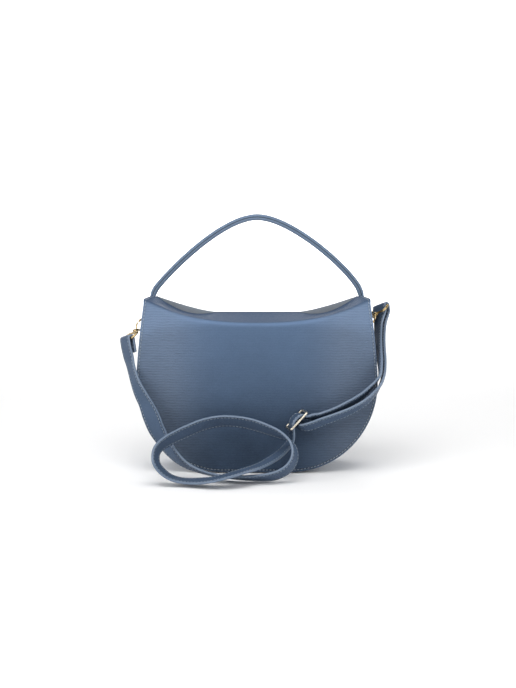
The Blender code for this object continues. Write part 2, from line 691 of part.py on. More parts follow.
def handle_half(bend):
    """Half of the handle from foot to top, with the radius share of each point."""
    foot = handle_foot()
    arch = []
    for step in range(HANDLE_STEPS + 1):
        t = step / HANDLE_STEPS
        weights = ((1 - t) ** 3, 3 * t * (1 - t) ** 2, 3 * t * t * (1 - t), t ** 3)
        x = sum(w * p[0] for w, p in zip(weights, bend)) * HANDLE_HALF_SPAN
        z = sum(w * p[1] for w, p in zip(weights, bend)) * HANDLE_RISE
        arch.append(Vector((x, foot.y, foot.z + HANDLE_FOOT_LENGTH + z)))
    up = (arch[0] - foot).normalized()
    foot_share = HANDLE_FOOT_RADIUS / HANDLE_RADIUS
    points = []
    shares = []
    for angle in HANDLE_FOOT_ANGLES:
        points.append(foot - up * HANDLE_FOOT_RADIUS * sin(angle))
        shares.append(foot_share * cos(angle))
    points += [foot, foot + up * HANDLE_NECK_LENGTH]
    shares += [foot_share, foot_share]
    for point in arch:
        if (point - foot).length > HANDLE_NECK_LENGTH + HANDLE_RADIUS:
            points.append(point)
            shares.append(1.0)
    return points, shares


def build_handle():
    points, shares = handle_half(HANDLE_BEND_SHARES["right"])
    left, left_shares = handle_half(HANDLE_BEND_SHARES["left"])
    points += [Vector((-point.x, point.y, point.z)) for point in reversed(left[:-1])]
    shares += list(reversed(left_shares[:-1]))
    tube("handle_leather", points, HANDLE_RADIUS, BLUE_LEATHER, radii=shares)
    for side_name, side in SIDES.items():
        build_handle_tab(f"handle_tab_{side_name}", side)


def build_handle_tab(name, side):
    """A leather tab sewn to the back panel, which holds one foot of the handle."""
    foot = handle_foot()
    top = foot.z - HANDLE_FOOT_RADIUS - CLEARANCE
    middle_x = side * (foot.x - HANDLE_TAB_WIDTH / 2 + HANDLE_RADIUS)

    def place(u, v):
        x = middle_x - u * HANDLE_TAB_WIDTH / 2
        z = top - HANDLE_TAB_LENGTH * (1.0 - v)
        return Vector((x, back_y(x, z, -CLEARANCE - HANDLE_TAB_THICKNESS), z))
    surface(name, 1, 4, place, BLUE_LEATHER, HANDLE_TAB_THICKNESS, -1.0)


# Rings and tabs

def ring_bar(side):
    wall = half_width(RING_BAR_HEIGHT, FLAP_OVERHANG, 0.0)
    fold = RING_WIRE_RADIUS + CLEARANCE + TAB_LEATHER
    return Vector((side * (wall + CLEARANCE + fold), 0.0, RING_BAR_HEIGHT))


def ring_direction(side_name, side):
    swing = RING_SWING[side_name]
    return Vector((side * sin(swing), 0.0, -cos(swing)))


def ring_point(side_name, side, angle):
    """A point on the ring's round end, by its angle from the middle of that end."""
    reach = RING_SIDE_LENGTH + RING_HALF_WIDTH * cos(angle)
    across = Vector((0.0, -RING_HALF_WIDTH * sin(angle), 0.0))
    return ring_bar(side) + ring_direction(side_name, side) * reach + across


def build_ring(side_name, side):
    bar = ring_bar(side)
    corners = [bar + Vector((0.0, y, 0.0)) for y in (RING_HALF_WIDTH, 0.0, -RING_HALF_WIDTH)]
    arc = []
    for step in range(RING_ARC_STEPS + 1):
        angle = pi / 2.0 - pi * step / RING_ARC_STEPS
        arc.append(ring_point(side_name, side, angle))
    tube(f"ring_{side_name}", corners + arc, RING_WIRE_RADIUS, GOLD, closed=True)


def build_tab(side_name, side):
    """A leather strip folded round the ring's bar, both ends on the gusset."""
    bar = ring_bar(side)
    fold = RING_WIRE_RADIUS + CLEARANCE + TAB_LEATHER / 2
    outer_shift = TAB_LEATHER + CLEARANCE
    path = []

    def wall_x(z):
        return half_width(z, FLAP_OVERHANG, 0.0) + CLEARANCE + TAB_LEATHER / 2
    low = RING_BAR_HEIGHT - TAB_DROP
    middle = RING_BAR_HEIGHT - TAB_SPREAD
    for z in (low, middle):
        path.append((wall_x(z), z))
    for step in range(FOLD_STEPS + 1):
        angle = pi - pi * step / FOLD_STEPS
        path.append((abs(bar.x) + fold * cos(angle), bar.z + fold * sin(angle)))
    for z in (middle, low):
        path.append((wall_x(z) + outer_shift, z))

    def place(u, v):
        x, z = path[round(v * (len(path) - 1))]
        return Vector((side * x, -side * u * TAB_WIDTH / 2, z))
    surface(f"ring_tab_{side_name}", 1, len(path) - 1, place, BLUE_LEATHER, TAB_LEATHER, 0.0)
    low_x, low_z = path[-1]
    high_x, high_z = path[-2]
    slope = Vector((high_x - low_x, 0.0, high_z - low_z)).normalized()
    outward = Vector((slope.z, 0.0, -slope.x))
    base = Vector(((low_x + high_x) / 2, 0.0, (low_z + high_z) / 2))
    base += outward * (TAB_LEATHER / 2 + CLEARANCE)
    turned(f"tab_rivet_{side_name}", rivet_profile(), (side * base.x, 0.0, base.z),
           (side * outward.x, 0.0, outward.z), GOLD)


# Clasps

def clasp_frame(side_name, side):
    """Ring wire point, clasp axis, the hook's sideways direction and the eye's bar."""
    start = ring_point(side_name, side, HOOK_ON_ARC[side_name])
    axis = Vector(CLASP_DIRECTION[side_name]).normalized()
    angle = HOOK_ON_ARC[side_name]
    wire = Vector((0.0, -cos(angle), 0.0)) - ring_direction(side_name, side) * sin(angle)
    sideways = wire.cross(axis).normalized()
    bar = Vector(EYE_DIRECTION[side_name])
    bar = (bar - axis * bar.dot(axis)).normalized()
    return start, axis, sideways, bar


def eye_bar_place(side_name, side):
    start, axis, _, _ = clasp_frame(side_name, side)
    return start + axis * CLASP_LENGTH


def build_clasp(side_name, side):
    start, axis, sideways, bar = clasp_frame(side_name, side)

    def local(along, across):
        return start + axis * along + sideways * across
    bow = []
    for step in range(HOOK_BOW_STEPS + 1):
        angle = HOOK_TIP_ANGLE * (1.0 - step / HOOK_BOW_STEPS)
        bow.append((-HOOK_BOW_RADIUS * sin(angle), HOOK_BOW_RADIUS * cos(angle)))
    shank = [(HOOK_NECK_START * a, HOOK_BOW_RADIUS * b) for a, b in HOOK_NECK_SHARES]
    shank += [((HOOK_NECK_START + HOOK_NECK_END) / 2, 0.0), (HOOK_NECK_END, 0.0)]
    path = bow + shank
    shares = [1.0] * (len(path) - 2) + [HOOK_KNOB_SHARE, HOOK_KNOB_SHARE]
    tube(f"hook_{side_name}", [local(*point) for point in path], HOOK_WIRE_RADIUS, GOLD,
         radii=shares)
    tube(f"gate_{side_name}", [local(*GATE_PIVOT), local(*GATE_ELBOW), local(*GATE_TIP)],
         GATE_RADIUS, GOLD)
    barrel_start = HOOK_NECK_END + CLEARANCE
    barrel_end = barrel_start + SWIVEL_LENGTH
    turned(f"swivel_{side_name}", disc_profile(SWIVEL_RADIUS, SWIVEL_LENGTH),
           local(barrel_start, 0.0), axis, GOLD)
    half = STRAP_WIDTH / 2 + CLEARANCE + EYE_WIRE_RADIUS
    top = barrel_end + CLEARANCE + EYE_WIRE_RADIUS
    outline = [
        (CLASP_LENGTH, half), (top + EYE_SHOULDER, half), (top, half - EYE_SHOULDER),
        (top, -half + EYE_SHOULDER), (top + EYE_SHOULDER, -half), (CLASP_LENGTH, -half),
    ]
    tube(f"eye_{side_name}", [start + axis * along + bar * across for along, across in outline],
         EYE_WIRE_RADIUS, GOLD, closed=True)


# Strap

def catmull(points, spot):
    """A smooth curve through all the points, by a running number along their list."""
    last = len(points) - 1
    index = min(max(int(spot), 0), last - 1)
    f = spot - index
    before = points[index - 1] if index > 0 else points[0] * 2 - points[1]
    after = points[index + 2] if index + 2 <= last else points[last] * 2 - points[last - 1]
    a, b = points[index], points[index + 1]
    return 0.5 * (a * 2 + (b - before) * f
                  + (before * 2 - a * 5 + b * 4 - after) * f * f
                  + (a * 3 - before - b * 3 + after) * f ** 3)


def ribbon(name, stations, first, last):
    """A flat piece of strap between two stations of its route."""
    middles = [middle for middle, _ in stations]
    crosses = [cross for _, cross in stations]
    start = first + STRAP_JOINT_GAP / 2 / (middles[first + 1] - middles[first]).length
    end = last - STRAP_JOINT_GAP / 2 / (middles[last] - middles[last - 1]).length

    def place(u, v):
        spot = start + (end - start) * v
        return catmull(middles, spot) + catmull(crosses, spot).normalized() * u * STRAP_WIDTH / 2
    steps = STRAP_STEPS * (last - first)
    return surface(name, 1, steps, place, BLUE_LEATHER, STRAP_THICKNESS, 0.0)


def route(shares):
    return [(share_place(place), Vector(cross).normalized()) for place, cross in shares]


def fold_frame(side_name, side):
    """Eye bar, its direction, the legs' direction and the direction across the legs."""
    _, _, _, bar = clasp_frame(side_name, side)
    down = Vector(LEG_DIRECTION[side_name])
    down = (down - bar * down.dot(bar)).normalized()
    across = down.cross(bar).normalized()
    if across.x * side < 0:
        across = -across
    return eye_bar_place(side_name, side), bar, down, across


FOLD_RADIUS = EYE_WIRE_RADIUS + CLEARANCE + STRAP_THICKNESS / 2


def fold_leg(side_name, side, outer, length):
    eye, bar, down, across = fold_frame(side_name, side)
    shift = FOLD_RADIUS if outer else -FOLD_RADIUS
    return eye + down * length + across * shift, bar


def build_fold(side_name, side, inner_length):
    """The strap's turn round the bar of a clasp's eye, with a leg on each side of it."""
    eye, bar, down, across = fold_frame(side_name, side)
    outer_length = STRAP_LEG_LENGTH - STRAP_JOINT_GAP / 2
    path = [(FOLD_RADIUS, outer_length), (FOLD_RADIUS, outer_length / 2)]
    for step in range(FOLD_STEPS + 1):
        angle = pi * step / FOLD_STEPS
        path.append((FOLD_RADIUS * cos(angle), -FOLD_RADIUS * sin(angle)))
    path.append((-FOLD_RADIUS, inner_length / 2))
    path.append((-FOLD_RADIUS, inner_length))

    def place(u, v):
        shift, drop = path[round(v * (len(path) - 1))]
        return eye + across * shift + down * drop + bar * u * STRAP_WIDTH / 2
    surface(f"strap_fold_{side_name}", 1, len(path) - 1, place, BLUE_LEATHER,
            STRAP_THICKNESS, 0.0)


def build_strap():
    build_fold("left", LEFT, STRAP_LAP_LENGTH)
    build_fold("right", RIGHT, STRAP_LEG_LENGTH - STRAP_JOINT_GAP / 2)
    main = [
        fold_leg("left", LEFT, True, STRAP_LEG_LENGTH / 2),
        fold_leg("left", LEFT, True, STRAP_LEG_LENGTH),
    ]
    main_pieces = []
    for name, shares in (
        ("strap_left_run", LEFT_RUN_SHARES),
        ("strap_floor_run", FLOOR_RUN_SHARES),
        ("strap_curl", CURL_SHARES),
        ("strap_loop_top", LOOP_TOP_SHARES),
        ("strap_loop_turn", LOOP_TURN_SHARES),
        ("strap_rise", RISE_SHARES),
        ("strap_slider_turn", SLIDER_TURN_SHARES),
        ("strap_upper_ply", UPPER_PLY_SHARES),
        ("strap_upper_rise", UPPER_RISE_SHARES),
    ):
        first = len(main) - 1
        main += route(shares)
        main_pieces.append((name, first, len(main) - 1))
    main.append(fold_leg("right", RIGHT, False, STRAP_LEG_LENGTH))
    main_pieces[-1] = (main_pieces[-1][0], main_pieces[-1][1], len(main) - 1)
    main.append(fold_leg("right", RIGHT, False, STRAP_LEG_LENGTH / 2))
    for name, first, last in main_pieces:
        ribbon(name, main, first, last)
    lower = route(LOWER_PLY_SHARES)
    split = len(lower) - 1
    lower += route(LOWER_RISE_SHARES)
    lower.append(fold_leg("right", RIGHT, True, STRAP_LEG_LENGTH))
    lower.append(fold_leg("right", RIGHT, True, STRAP_LEG_LENGTH / 2))
    ribbon("strap_lower_ply", lower, 0, split)
    ribbon("strap_lower_rise", lower, split, len(lower) - 2)
    build_lap_rivet()


def build_lap_rivet():
    """The rivet that holds the short lap to the strap below the left clasp."""
    eye, _, down, across = fold_frame("left", LEFT)
    drop = STRAP_LAP_LENGTH * LAP_RIVET_SHARE
    base = eye + down * drop - across * (FOLD_RADIUS + STRAP_THICKNESS / 2 + CLEARANCE)
    turned("lap_rivet", rivet_profile(), base, -across, GOLD)


def build_slider():
    """A flat wire frame round the strap, with a bar across its middle."""
    middle = share_place(SLIDER_PLACE_SHARES)
    reach = Vector(SLIDER_DIRECTION).normalized()
    across = Vector(SLIDER_WIDTH_DIRECTION)
    across = (across - reach * across.dot(reach)).normalized()
    half_length = SLIDER_LENGTH / 2
    half = STRAP_WIDTH / 2 + 2 * CLEARANCE + SLIDER_WIRE_RADIUS
    corner = SLIDER_ROUNDING
    outline = [
        (half_length - corner, half), (half_length, half - corner),
        (half_length, -half + corner), (half_length - corner, -half),
        (-half_length + corner, -half), (-half_length, -half + corner),
        (-half_length, half - corner), (-half_length + corner, half),
    ]
    tube("slider_frame", [middle + reach * a + across * b for a, b in outline],
         SLIDER_WIRE_RADIUS, STEEL, closed=True)
    end = half - SLIDER_WIRE_RADIUS - CLEARANCE / 2
    tube("slider_bar", [middle - across * end, middle, middle + across * end],
         SLIDER_WIRE_RADIUS, STEEL)


clear_scene()
parts = new_collection("half_moon_handbag")
cutters = new_collection("half_moon_handbag_cutters")
build_body()
build_flap()
build_snap()
build_handle()
for ring_side_name, ring_side in SIDES.items():
    build_ring(ring_side_name, ring_side)
    build_tab(ring_side_name, ring_side)
    build_clasp(ring_side_name, ring_side)
build_strap()
build_slider()
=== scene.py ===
# %% [markdown]
# # A half-moon flap bag in leather, thread and plated metal
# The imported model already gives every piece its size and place. This lesson gives the bag its
# looks: grained leather, painted edges, sewn threads, brushed suede and pale gold fittings.
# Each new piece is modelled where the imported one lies, and then stands in for it.

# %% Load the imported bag
from math import cos, pi, radians, sin, sqrt

import bmesh
import bpy
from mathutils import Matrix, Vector
from mathutils.kdtree import KDTree


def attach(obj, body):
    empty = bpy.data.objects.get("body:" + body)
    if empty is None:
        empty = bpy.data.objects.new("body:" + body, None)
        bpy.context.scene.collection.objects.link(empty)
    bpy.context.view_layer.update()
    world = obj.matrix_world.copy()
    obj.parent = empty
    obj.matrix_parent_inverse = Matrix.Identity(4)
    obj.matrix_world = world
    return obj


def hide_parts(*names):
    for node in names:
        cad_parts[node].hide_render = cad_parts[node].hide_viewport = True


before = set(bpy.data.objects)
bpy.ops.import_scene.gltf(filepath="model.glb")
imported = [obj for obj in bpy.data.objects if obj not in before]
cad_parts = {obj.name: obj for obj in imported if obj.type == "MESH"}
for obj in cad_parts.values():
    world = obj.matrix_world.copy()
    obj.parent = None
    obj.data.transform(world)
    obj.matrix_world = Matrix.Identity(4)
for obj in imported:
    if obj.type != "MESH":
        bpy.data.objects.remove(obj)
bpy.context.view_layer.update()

# %% [markdown]
# ## Tools for the bench
# Every operator works on what is selected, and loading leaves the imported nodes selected. So the
# first helper picks one object and nothing else, and the next one adds a primitive to an empty
# selection. Another applies an object's modifiers from top to bottom, which turns the recipe
# into a plain mesh.

# %% Pick, apply and hand over
def pick(thing):
    bpy.ops.object.select_all(action="DESELECT")
    thing.select_set(True)
    bpy.context.view_layer.objects.active = thing
    return thing


def added(name, primitive, **settings):
    """A new primitive, made by its own operator and given a name."""
    bpy.ops.object.select_all(action="DESELECT")
    primitive(**settings)
    bpy.context.object.name = name
    return bpy.context.object


def drawn_curve(name, points, radii=None):
    """A curve object of straight stretches through the points."""
    data = bpy.data.curves.new(name, "CURVE")
    data.dimensions = "3D"
    line = data.splines.new("POLY")
    line.points.add(len(points) - 1)
    for index, spot in enumerate(points):
        line.points[index].co = (*spot, 1.0)
        line.points[index].radius = radii[index] if radii else 1.0
    thing = bpy.data.objects.new(name, data)
    bpy.context.scene.collection.objects.link(thing)
    return thing


def clamp(share):
    return min(1.0, max(0.0, share))


def tint(colour, factor):
    return tuple(factor * part for part in colour)


def select_where(thing, parts, test):
    """Enter edit mode with only those parts of the mesh selected that pass the test."""
    bpy.ops.object.mode_set(mode="EDIT")
    bpy.ops.mesh.select_all(action="DESELECT")
    shape = bmesh.from_edit_mesh(thing.data)
    for part in getattr(shape, parts):
        part.select = test(part)
    shape.select_flush(True)
    bmesh.update_edit_mesh(thing.data)


def heading(spots, number):
    """The way along a path at one of its spots, from the spot before to the one after."""
    return spots[min(number + 1, len(spots) - 1)] - spots[max(number - 1, 0)]


def apply_all(thing, smooth_angle=40):
    pick(thing)
    for modifier in list(thing.modifiers):
        bpy.ops.object.modifier_apply(modifier=modifier.name)
    bpy.ops.object.transform_apply(location=True, rotation=True, scale=True)
    bpy.ops.object.shade_smooth_by_angle(angle=radians(smooth_angle))
    return thing


def hand_over(thing, body, slot, *nodes):
    """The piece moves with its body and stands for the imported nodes."""
    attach(thing, body)
    if nodes:
        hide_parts(*nodes)
    print(f"{thing.name}: {len(thing.data.polygons)} faces")
    return thing


# %% [markdown]
# ## Shader maths that reads like maths
# A material is a small graph of nodes. `Value` wraps the end of a wire, so that `1 - mask * 0.5`
# adds the Math nodes by itself. `Finish` is one material with one method for every other node.

# %% Value and Finish
class Value:
    def __init__(self, finish, socket):
        self.finish, self.socket = finish, socket

    def math(self, operation, first, second):
        return self.finish.node("ShaderNodeMath", {"operation": operation}, {0: first, 1: second})

    def __add__(self, other):
        return self.math("ADD", self, other)

    def __sub__(self, other):
        return self.math("SUBTRACT", self, other)

    def __rsub__(self, other):
        return self.math("SUBTRACT", other, self)

    def __mul__(self, other):
        return self.math("MULTIPLY", self, other)

    __radd__, __rmul__ = __add__, __mul__

    def between(self, low, high):
        """Rises softly from 0 to 1 while the value goes from low to high."""
        return self.finish.node("ShaderNodeMapRange", {"interpolation_type": "SMOOTHSTEP"},
                                {"Value": self, "From Min": low, "From Max": high})


class Finish:
    def __init__(self, name, roughness=0.5, metallic=0.0, **constants):
        self.material = bpy.data.materials.new(name)
        self.material.use_nodes = True
        self.tree = self.material.node_tree
        self.shader = self.tree.nodes["Principled BSDF"]
        self.set(Roughness=roughness, Metallic=metallic)
        for socket, number in constants.items():
            self.shader.inputs[socket.replace("_", " ")].default_value = number

    def plug(self, socket, value):
        if isinstance(value, Value):
            self.tree.links.new(value.socket, socket)
        else:
            socket.default_value = value

    def node(self, kind, settings=None, inputs=None, output=0):
        made = self.tree.nodes.new(kind)
        for setting, value in (settings or {}).items():
            setattr(made, setting, value)
        for socket, value in (inputs or {}).items():
            self.plug(made.inputs[socket], value)
        return Value(self, made.outputs[output])

    def set(self, **sockets):
        for socket, value in sockets.items():
            self.plug(self.shader.inputs[socket.replace("_", " ")], value)
        return self

    def place(self, scale=(1, 1, 1)):
        """Object coordinates, with a scale for each axis."""
        spot = self.node("ShaderNodeTexCoord", output="Object")
        return self.node("ShaderNodeMapping", None, {"Vector": spot, "Scale": scale})

    def noise(self, place, scale, detail=2.0, roughness=0.5):
        return self.node("ShaderNodeTexNoise", None, {
            "Vector": place, "Scale": scale, "Detail": detail, "Roughness": roughness})

    def mix(self, share, first, second):
        """Blend two colours by a share, either of them a tuple or another colour."""
        ends = [(*end, 1.0) if isinstance(end, tuple) else end for end in (first, second)]
        return self.node("ShaderNodeMix", {"data_type": "RGBA"},
                         {0: share, 6: ends[0], 7: ends[1]}, output=2)

    def bump(self, height, distance):
        return self.node("ShaderNodeBump", None, {"Height": height, "Distance": distance})


# %% [markdown]
# ## Grained leather
# The hide has three scales of detail. Pebbles of about a millimetre cover it, ripples of nearly
# three millimetres run across the front where the flap was pulled over its board, and the dye is
# cloudy over a few centimetres. On the flap alone, one weight paints light and shade into the
# colour: painted shade darker towards the base, a painted grey sheen, painted light and a
# stronger ripple tone at the sides, a painted highlight along the fold, and painted shade that
# turns the leather over the top a deeper blue. Near a cut edge the leather is thinned and sewn
# down, so a stored distance to the edge, `rim`, marks a shallow furrow along the seam, which
# gets painted shade, and the last half millimetre, which is rubbed pale as wear. Where `rim` is
# zero along the handle's upper side, the same pale colour is a painted highlight.

# %% Leather
SEAM_INSET, RIPPLE_PITCH = 0.0021, 0.0027
FURROW_INSIDE, FURROW_OUTSIDE, WEAR_AND_HIGHLIGHT_RIM = 0.0011, 0.0013, (0.0001, 0.0007)
WAVE_BAND = 0.31416  # a Wave texture of scale 1 repeats after this many metres
RIPPLE_STRETCH, PEBBLE_STRETCH = (1.1, 1.1, 1.0), (1.0, 1.0, 1.25)
FOLD_STRETCH = (115.0, 115.0, 440.0)
PAINTED_GRADIENT_LEVELS, TOP_LEVELS = (0.0, 0.17), (0.12, 0.14)
ROOF_DEPTHS, SIDE_SQUARES = (-0.0285, -0.0225), (0.0006, 0.0090)
RIDGE_RISE, RIDGE_FALL = (-0.0308, -0.0290), (-0.0280, -0.0250)
PAINTED_SHEEN_GREY, ROOF_PAINTED_SHADE = (0.170, 0.190, 0.220), (0.040, 0.080, 0.165)
DOME_BUMP, PORE_BUMP, FURROW_BUMP, FOLD_BUMP = 0.00013, 0.00003, 0.00022, 0.00048


def leather(name, colour, wrinkle=0.0, grain=0.0011, roughness=0.47, painted_light=0.0, painted_furrow_shade=0.40,
            gloss=0.13):
    """grain is the pebbles' size in metres. The other words weigh what the text above names."""
    finish = Finish(name, Specular_IOR_Level=gloss)
    spot = finish.place()
    wander = finish.noise(spot, 160.0, 2.0)
    pebbles = finish.node("ShaderNodeTexVoronoi", {"feature": "DISTANCE_TO_EDGE"},
                          {"Vector": finish.place(PEBBLE_STRETCH), "Scale": 1.0 / grain,
                           "Randomness": 0.95})
    domes = pebbles.between(0.0, 0.32) * (0.55 + 0.45 * wander)
    pores = finish.noise(spot, 3200.0, 3.0, 0.6)
    cloud = finish.noise(spot, 22.0, 3.0, 0.55)
    ripples = finish.node("ShaderNodeTexWave", {"bands_direction": "Z"}, {
        "Vector": finish.place(RIPPLE_STRETCH), "Scale": WAVE_BAND / RIPPLE_PITCH,
        "Distortion": 3.6, "Detail": 2.0, "Detail Scale": 1.0}, output="Fac")
    creases = finish.noise(finish.place(FOLD_STRETCH), 1.0, 1.5, 0.45)
    folds = 0.55 * creases + 0.45 * ripples
    across, depth, level = (
        finish.node("ShaderNodeSeparateXYZ", None, {"Vector": spot}, output=axis)
        for axis in range(3))
    high = level.between(*TOP_LEVELS)
    # roof marks the leather over the top, which gets painted shade.
    roof = depth.between(*ROOF_DEPTHS) * high
    # sides marks the flap's sides, which get a painted grey sheen and painted light.
    sides = (across * across).between(*SIDE_SQUARES) * (1 - roof)
    # A band along the fold, which gets a painted highlight.
    fold_highlight = depth.between(*RIDGE_RISE) * (1 - depth.between(*RIDGE_FALL)) * high
    rim = finish.node("ShaderNodeAttribute", {"attribute_name": "rim"}, output="Fac")
    # The seam's furrow: it is dented in the bump and gets painted shade in the colour.
    furrow = (rim.between(SEAM_INSET - FURROW_INSIDE, SEAM_INSET)
              - rim.between(SEAM_INSET, SEAM_INSET + FURROW_OUTSIDE))
    # Pale wear on the last half millimetre of a cut edge, and a painted highlight where rim is zero
    # along the handle's upper side.
    wear_and_painted_highlight = (1 - rim.between(*WEAR_AND_HIGHLIGHT_RIM)) * finish.noise(spot, 350.0, 2.0).between(0.35, 0.75)
    # The last bracket is for the flap alone and is painted light and shade: darker towards the
    # base, lighter sides, painted shade over the top and a painted highlight along the fold. At the
    # sides the ripples' tone also swings more, as painted grazing light.
    shade = (0.75 + 0.28 * cloud + 0.20 * domes - painted_furrow_shade * furrow
             + (folds - 0.5) * (0.42 * wrinkle) * (0.3 + sides) + 0.14 * (pores - 0.5)
             + (level.between(*PAINTED_GRADIENT_LEVELS) + 0.20 * sides - 0.8 - 0.62 * roof
                + 0.90 * fold_highlight) * painted_light)
    pale = tint(colour, 1.8)
    # The dye's tone, with the painted light and shade of the flap mixed in.
    dye_and_painted_tone = finish.mix(0.667 * shade - 0.2, tint(colour, 0.3), pale)
    # Painted sheen: the flap's sides are mixed towards a pale grey, a painted reflection.
    painted_sheen_mix = finish.mix(sides * (0.50 * painted_light), dye_and_painted_tone, PAINTED_SHEEN_GREY)
    # Painted shade: the leather over the top is mixed towards a deeper blue.
    roof_shaded_mix = finish.mix(roof * (0.90 * painted_light), painted_sheen_mix, ROOF_PAINTED_SHADE)
    finish.set(Base_Color=finish.mix(wear_and_painted_highlight * 0.35, roof_shaded_mix, pale),
               Roughness=roughness + 0.10 * (pores - 0.5) - 0.10 * domes + 0.08 * cloud)
    height = (domes * DOME_BUMP + pores * PORE_BUMP - furrow * FURROW_BUMP
              + folds * (0.3 + sides) * (FOLD_BUMP * wrinkle))
    finish.set(Normal=finish.bump(height, 1.0))
    return finish.material


BLUE = (0.073, 0.114, 0.187)
# Only the flap's face gets the painted light and shade, at a weight of 0.55.
FACE_LEATHER = leather("face_leather", BLUE, wrinkle=0.72, painted_light=0.55, gloss=0.06)
BODY_LEATHER = leather("body_leather", BLUE, wrinkle=0.35)
# The handle's copy of the blue is lighter, partly painted light on the handle; the strap's copy is
# darker, partly painted shade.
HANDLE_LEATHER = leather("handle_leather", (0.106, 0.156, 0.234), wrinkle=0.2, roughness=0.40,
                         painted_furrow_shade=0.80, gloss=0.40)
STRAP_LEATHER = leather("strap_leather", (0.066, 0.101, 0.163), wrinkle=0.10, grain=0.0009)

# %% [markdown]
# ## Edge paint, suede, cloth and thread
# Cut edges are sealed with a few coats of paint, glossier than the leather. Its colour is paler
# than the leather partly as a painted highlight, the bright line that edges catch from above.
# The inside of the flap and of the back panel is brushed suede, whose short nap shows as soft
# patches. The lining is a plain weave, and the thread is waxed and a little paler than the hide.

# %% Edge paint
def edge_paint(name, colour):
    finish = Finish(name, Specular_IOR_Level=0.55)
    lumps = finish.noise(finish.place(), 900.0, 2.0)
    finish.set(Base_Color=finish.mix(lumps, tint(colour, 0.8), colour),
               Roughness=0.30 + 0.14 * lumps,
               Normal=finish.bump(lumps, 0.00010))
    return finish.material


# Paler than the leather: partly the paint's own colour, partly a painted highlight on the edges.
EDGE = edge_paint("edge_paint", (0.130, 0.180, 0.260))

# %% Suede
def suede(name, colour):
    finish = Finish(name, 0.92, Specular_IOR_Level=0.20, Sheen_Weight=0.45, Sheen_Roughness=0.6)
    spot = finish.place()
    nap = finish.noise(finish.place((1.0, 1.0, 0.45)), 2600.0, 3.0, 0.7)
    strokes = finish.noise(finish.place((1.0, 1.0, 0.3)), 55.0, 3.0, 0.6)
    shade = 0.25 + 0.5 * strokes + 0.35 * (nap - 0.5)
    finish.set(Base_Color=finish.mix(shade, tint(colour, 0.62), tint(colour, 1.35)),
               Normal=finish.bump(nap + finish.noise(spot, 300.0) * 0.4, 0.00012))
    return finish.material


SUEDE = suede("brushed_suede", (0.215, 0.240, 0.270))

# %% Woven lining
def weave(name, colour, pitch=0.0007):
    finish = Finish(name, 0.88, Specular_IOR_Level=0.2, Sheen_Weight=0.2, Sheen_Roughness=0.5)
    waves = []
    for direction in ("X", "Z"):
        waves.append(finish.node("ShaderNodeTexWave", {"bands_direction": direction}, {
            "Vector": finish.place(), "Scale": WAVE_BAND / pitch, "Distortion": 0.4}, output="Fac"))
    over = waves[0] * (1 - waves[1]) + waves[1] * (1 - waves[0])
    cloud = finish.noise(finish.place(), 60.0, 3.0)
    finish.set(Base_Color=finish.mix(0.7 * over + 0.3 * cloud, tint(colour, 0.6),
                                     tint(colour, 1.3)),
               Normal=finish.bump(over, 0.00010))
    return finish.material


LINING_CLOTH = weave("lining_cloth", (0.150, 0.165, 0.180))

# %% Thread
def thread(name, colour):
    finish = Finish(name, 0.55, Sheen_Weight=0.3)
    twist = finish.noise(finish.place((1.0, 1.0, 1.6)), 2200.0, 1.0)
    finish.set(Base_Color=finish.mix(twist, tint(colour, 0.7), colour),
               Normal=finish.bump(twist, 0.00006))
    return finish.material


THREAD = thread("waxed_thread", (0.330, 0.390, 0.460))

# %% [markdown]
# ## Plated metal and board
# The fittings are pale gold plate over polished zinc. Polish leaves faint hairlines, and handling
# leaves dull patches, so only the roughness and a very small bump vary. The buckle has a cooler,
# more silvery plate. The boards inside the panels stay hidden and are plain pressed fibre.

# %% Plate and board
def plate(name, colour, roughness=0.20):
    finish = Finish(name, metallic=1.0)
    spot = finish.place()
    hairs = finish.noise(finish.place((1.0, 0.12, 1.0)), 4200.0, 2.0, 0.7)
    touch = finish.noise(spot, 240.0, 2.0)
    finish.set(Base_Color=finish.mix(touch, tint(colour, 0.86), colour),
               Roughness=roughness - 0.05 + 0.16 * touch.between(0.4, 0.75) + 0.08 * hairs,
               Normal=finish.bump(hairs, 0.000008))
    return finish.material


def fibre_board(name, colour):
    finish = Finish(name, 0.85)
    fleck = finish.noise(finish.place(), 700.0, 4.0, 0.7)
    finish.set(Base_Color=finish.mix(fleck, tint(colour, 0.7), colour),
               Normal=finish.bump(fleck, 0.0001))
    return finish.material


GOLD = plate("pale_gold_plate", (0.560, 0.420, 0.215))
SILVER_GOLD = plate("silver_gold_plate", (0.780, 0.710, 0.590), 0.24)
FIBRE = fibre_board("fibre_board", (0.480, 0.440, 0.370))
print("materials:", len(bpy.data.materials))

# %% [markdown]
# ## Sheets of leather
# A pattern piece is a flat sheet before it is sewn. A grid primitive makes the sheet, its points
# are then laid on the bag's own curved shape, and Solidify gives it the thickness of the hide
# with the cut edge in its own material. A small Bevel rounds that edge as the sander does.

# %% Sheet
def sheet(name, columns, rows, lay):
    """A grid whose points go to lay(u, v), u from -1 to 1 and v from 0 to 1."""
    thing = added(name, bpy.ops.mesh.primitive_grid_add, x_subdivisions=columns,
                  y_subdivisions=rows, size=2.0)
    for point in thing.data.vertices:
        point.co = lay(point.co.x, (point.co.y + 1.0) / 2.0)
    thing.data.update()
    return thing


RIM_SPOTS, WELD = 8, 0.000001


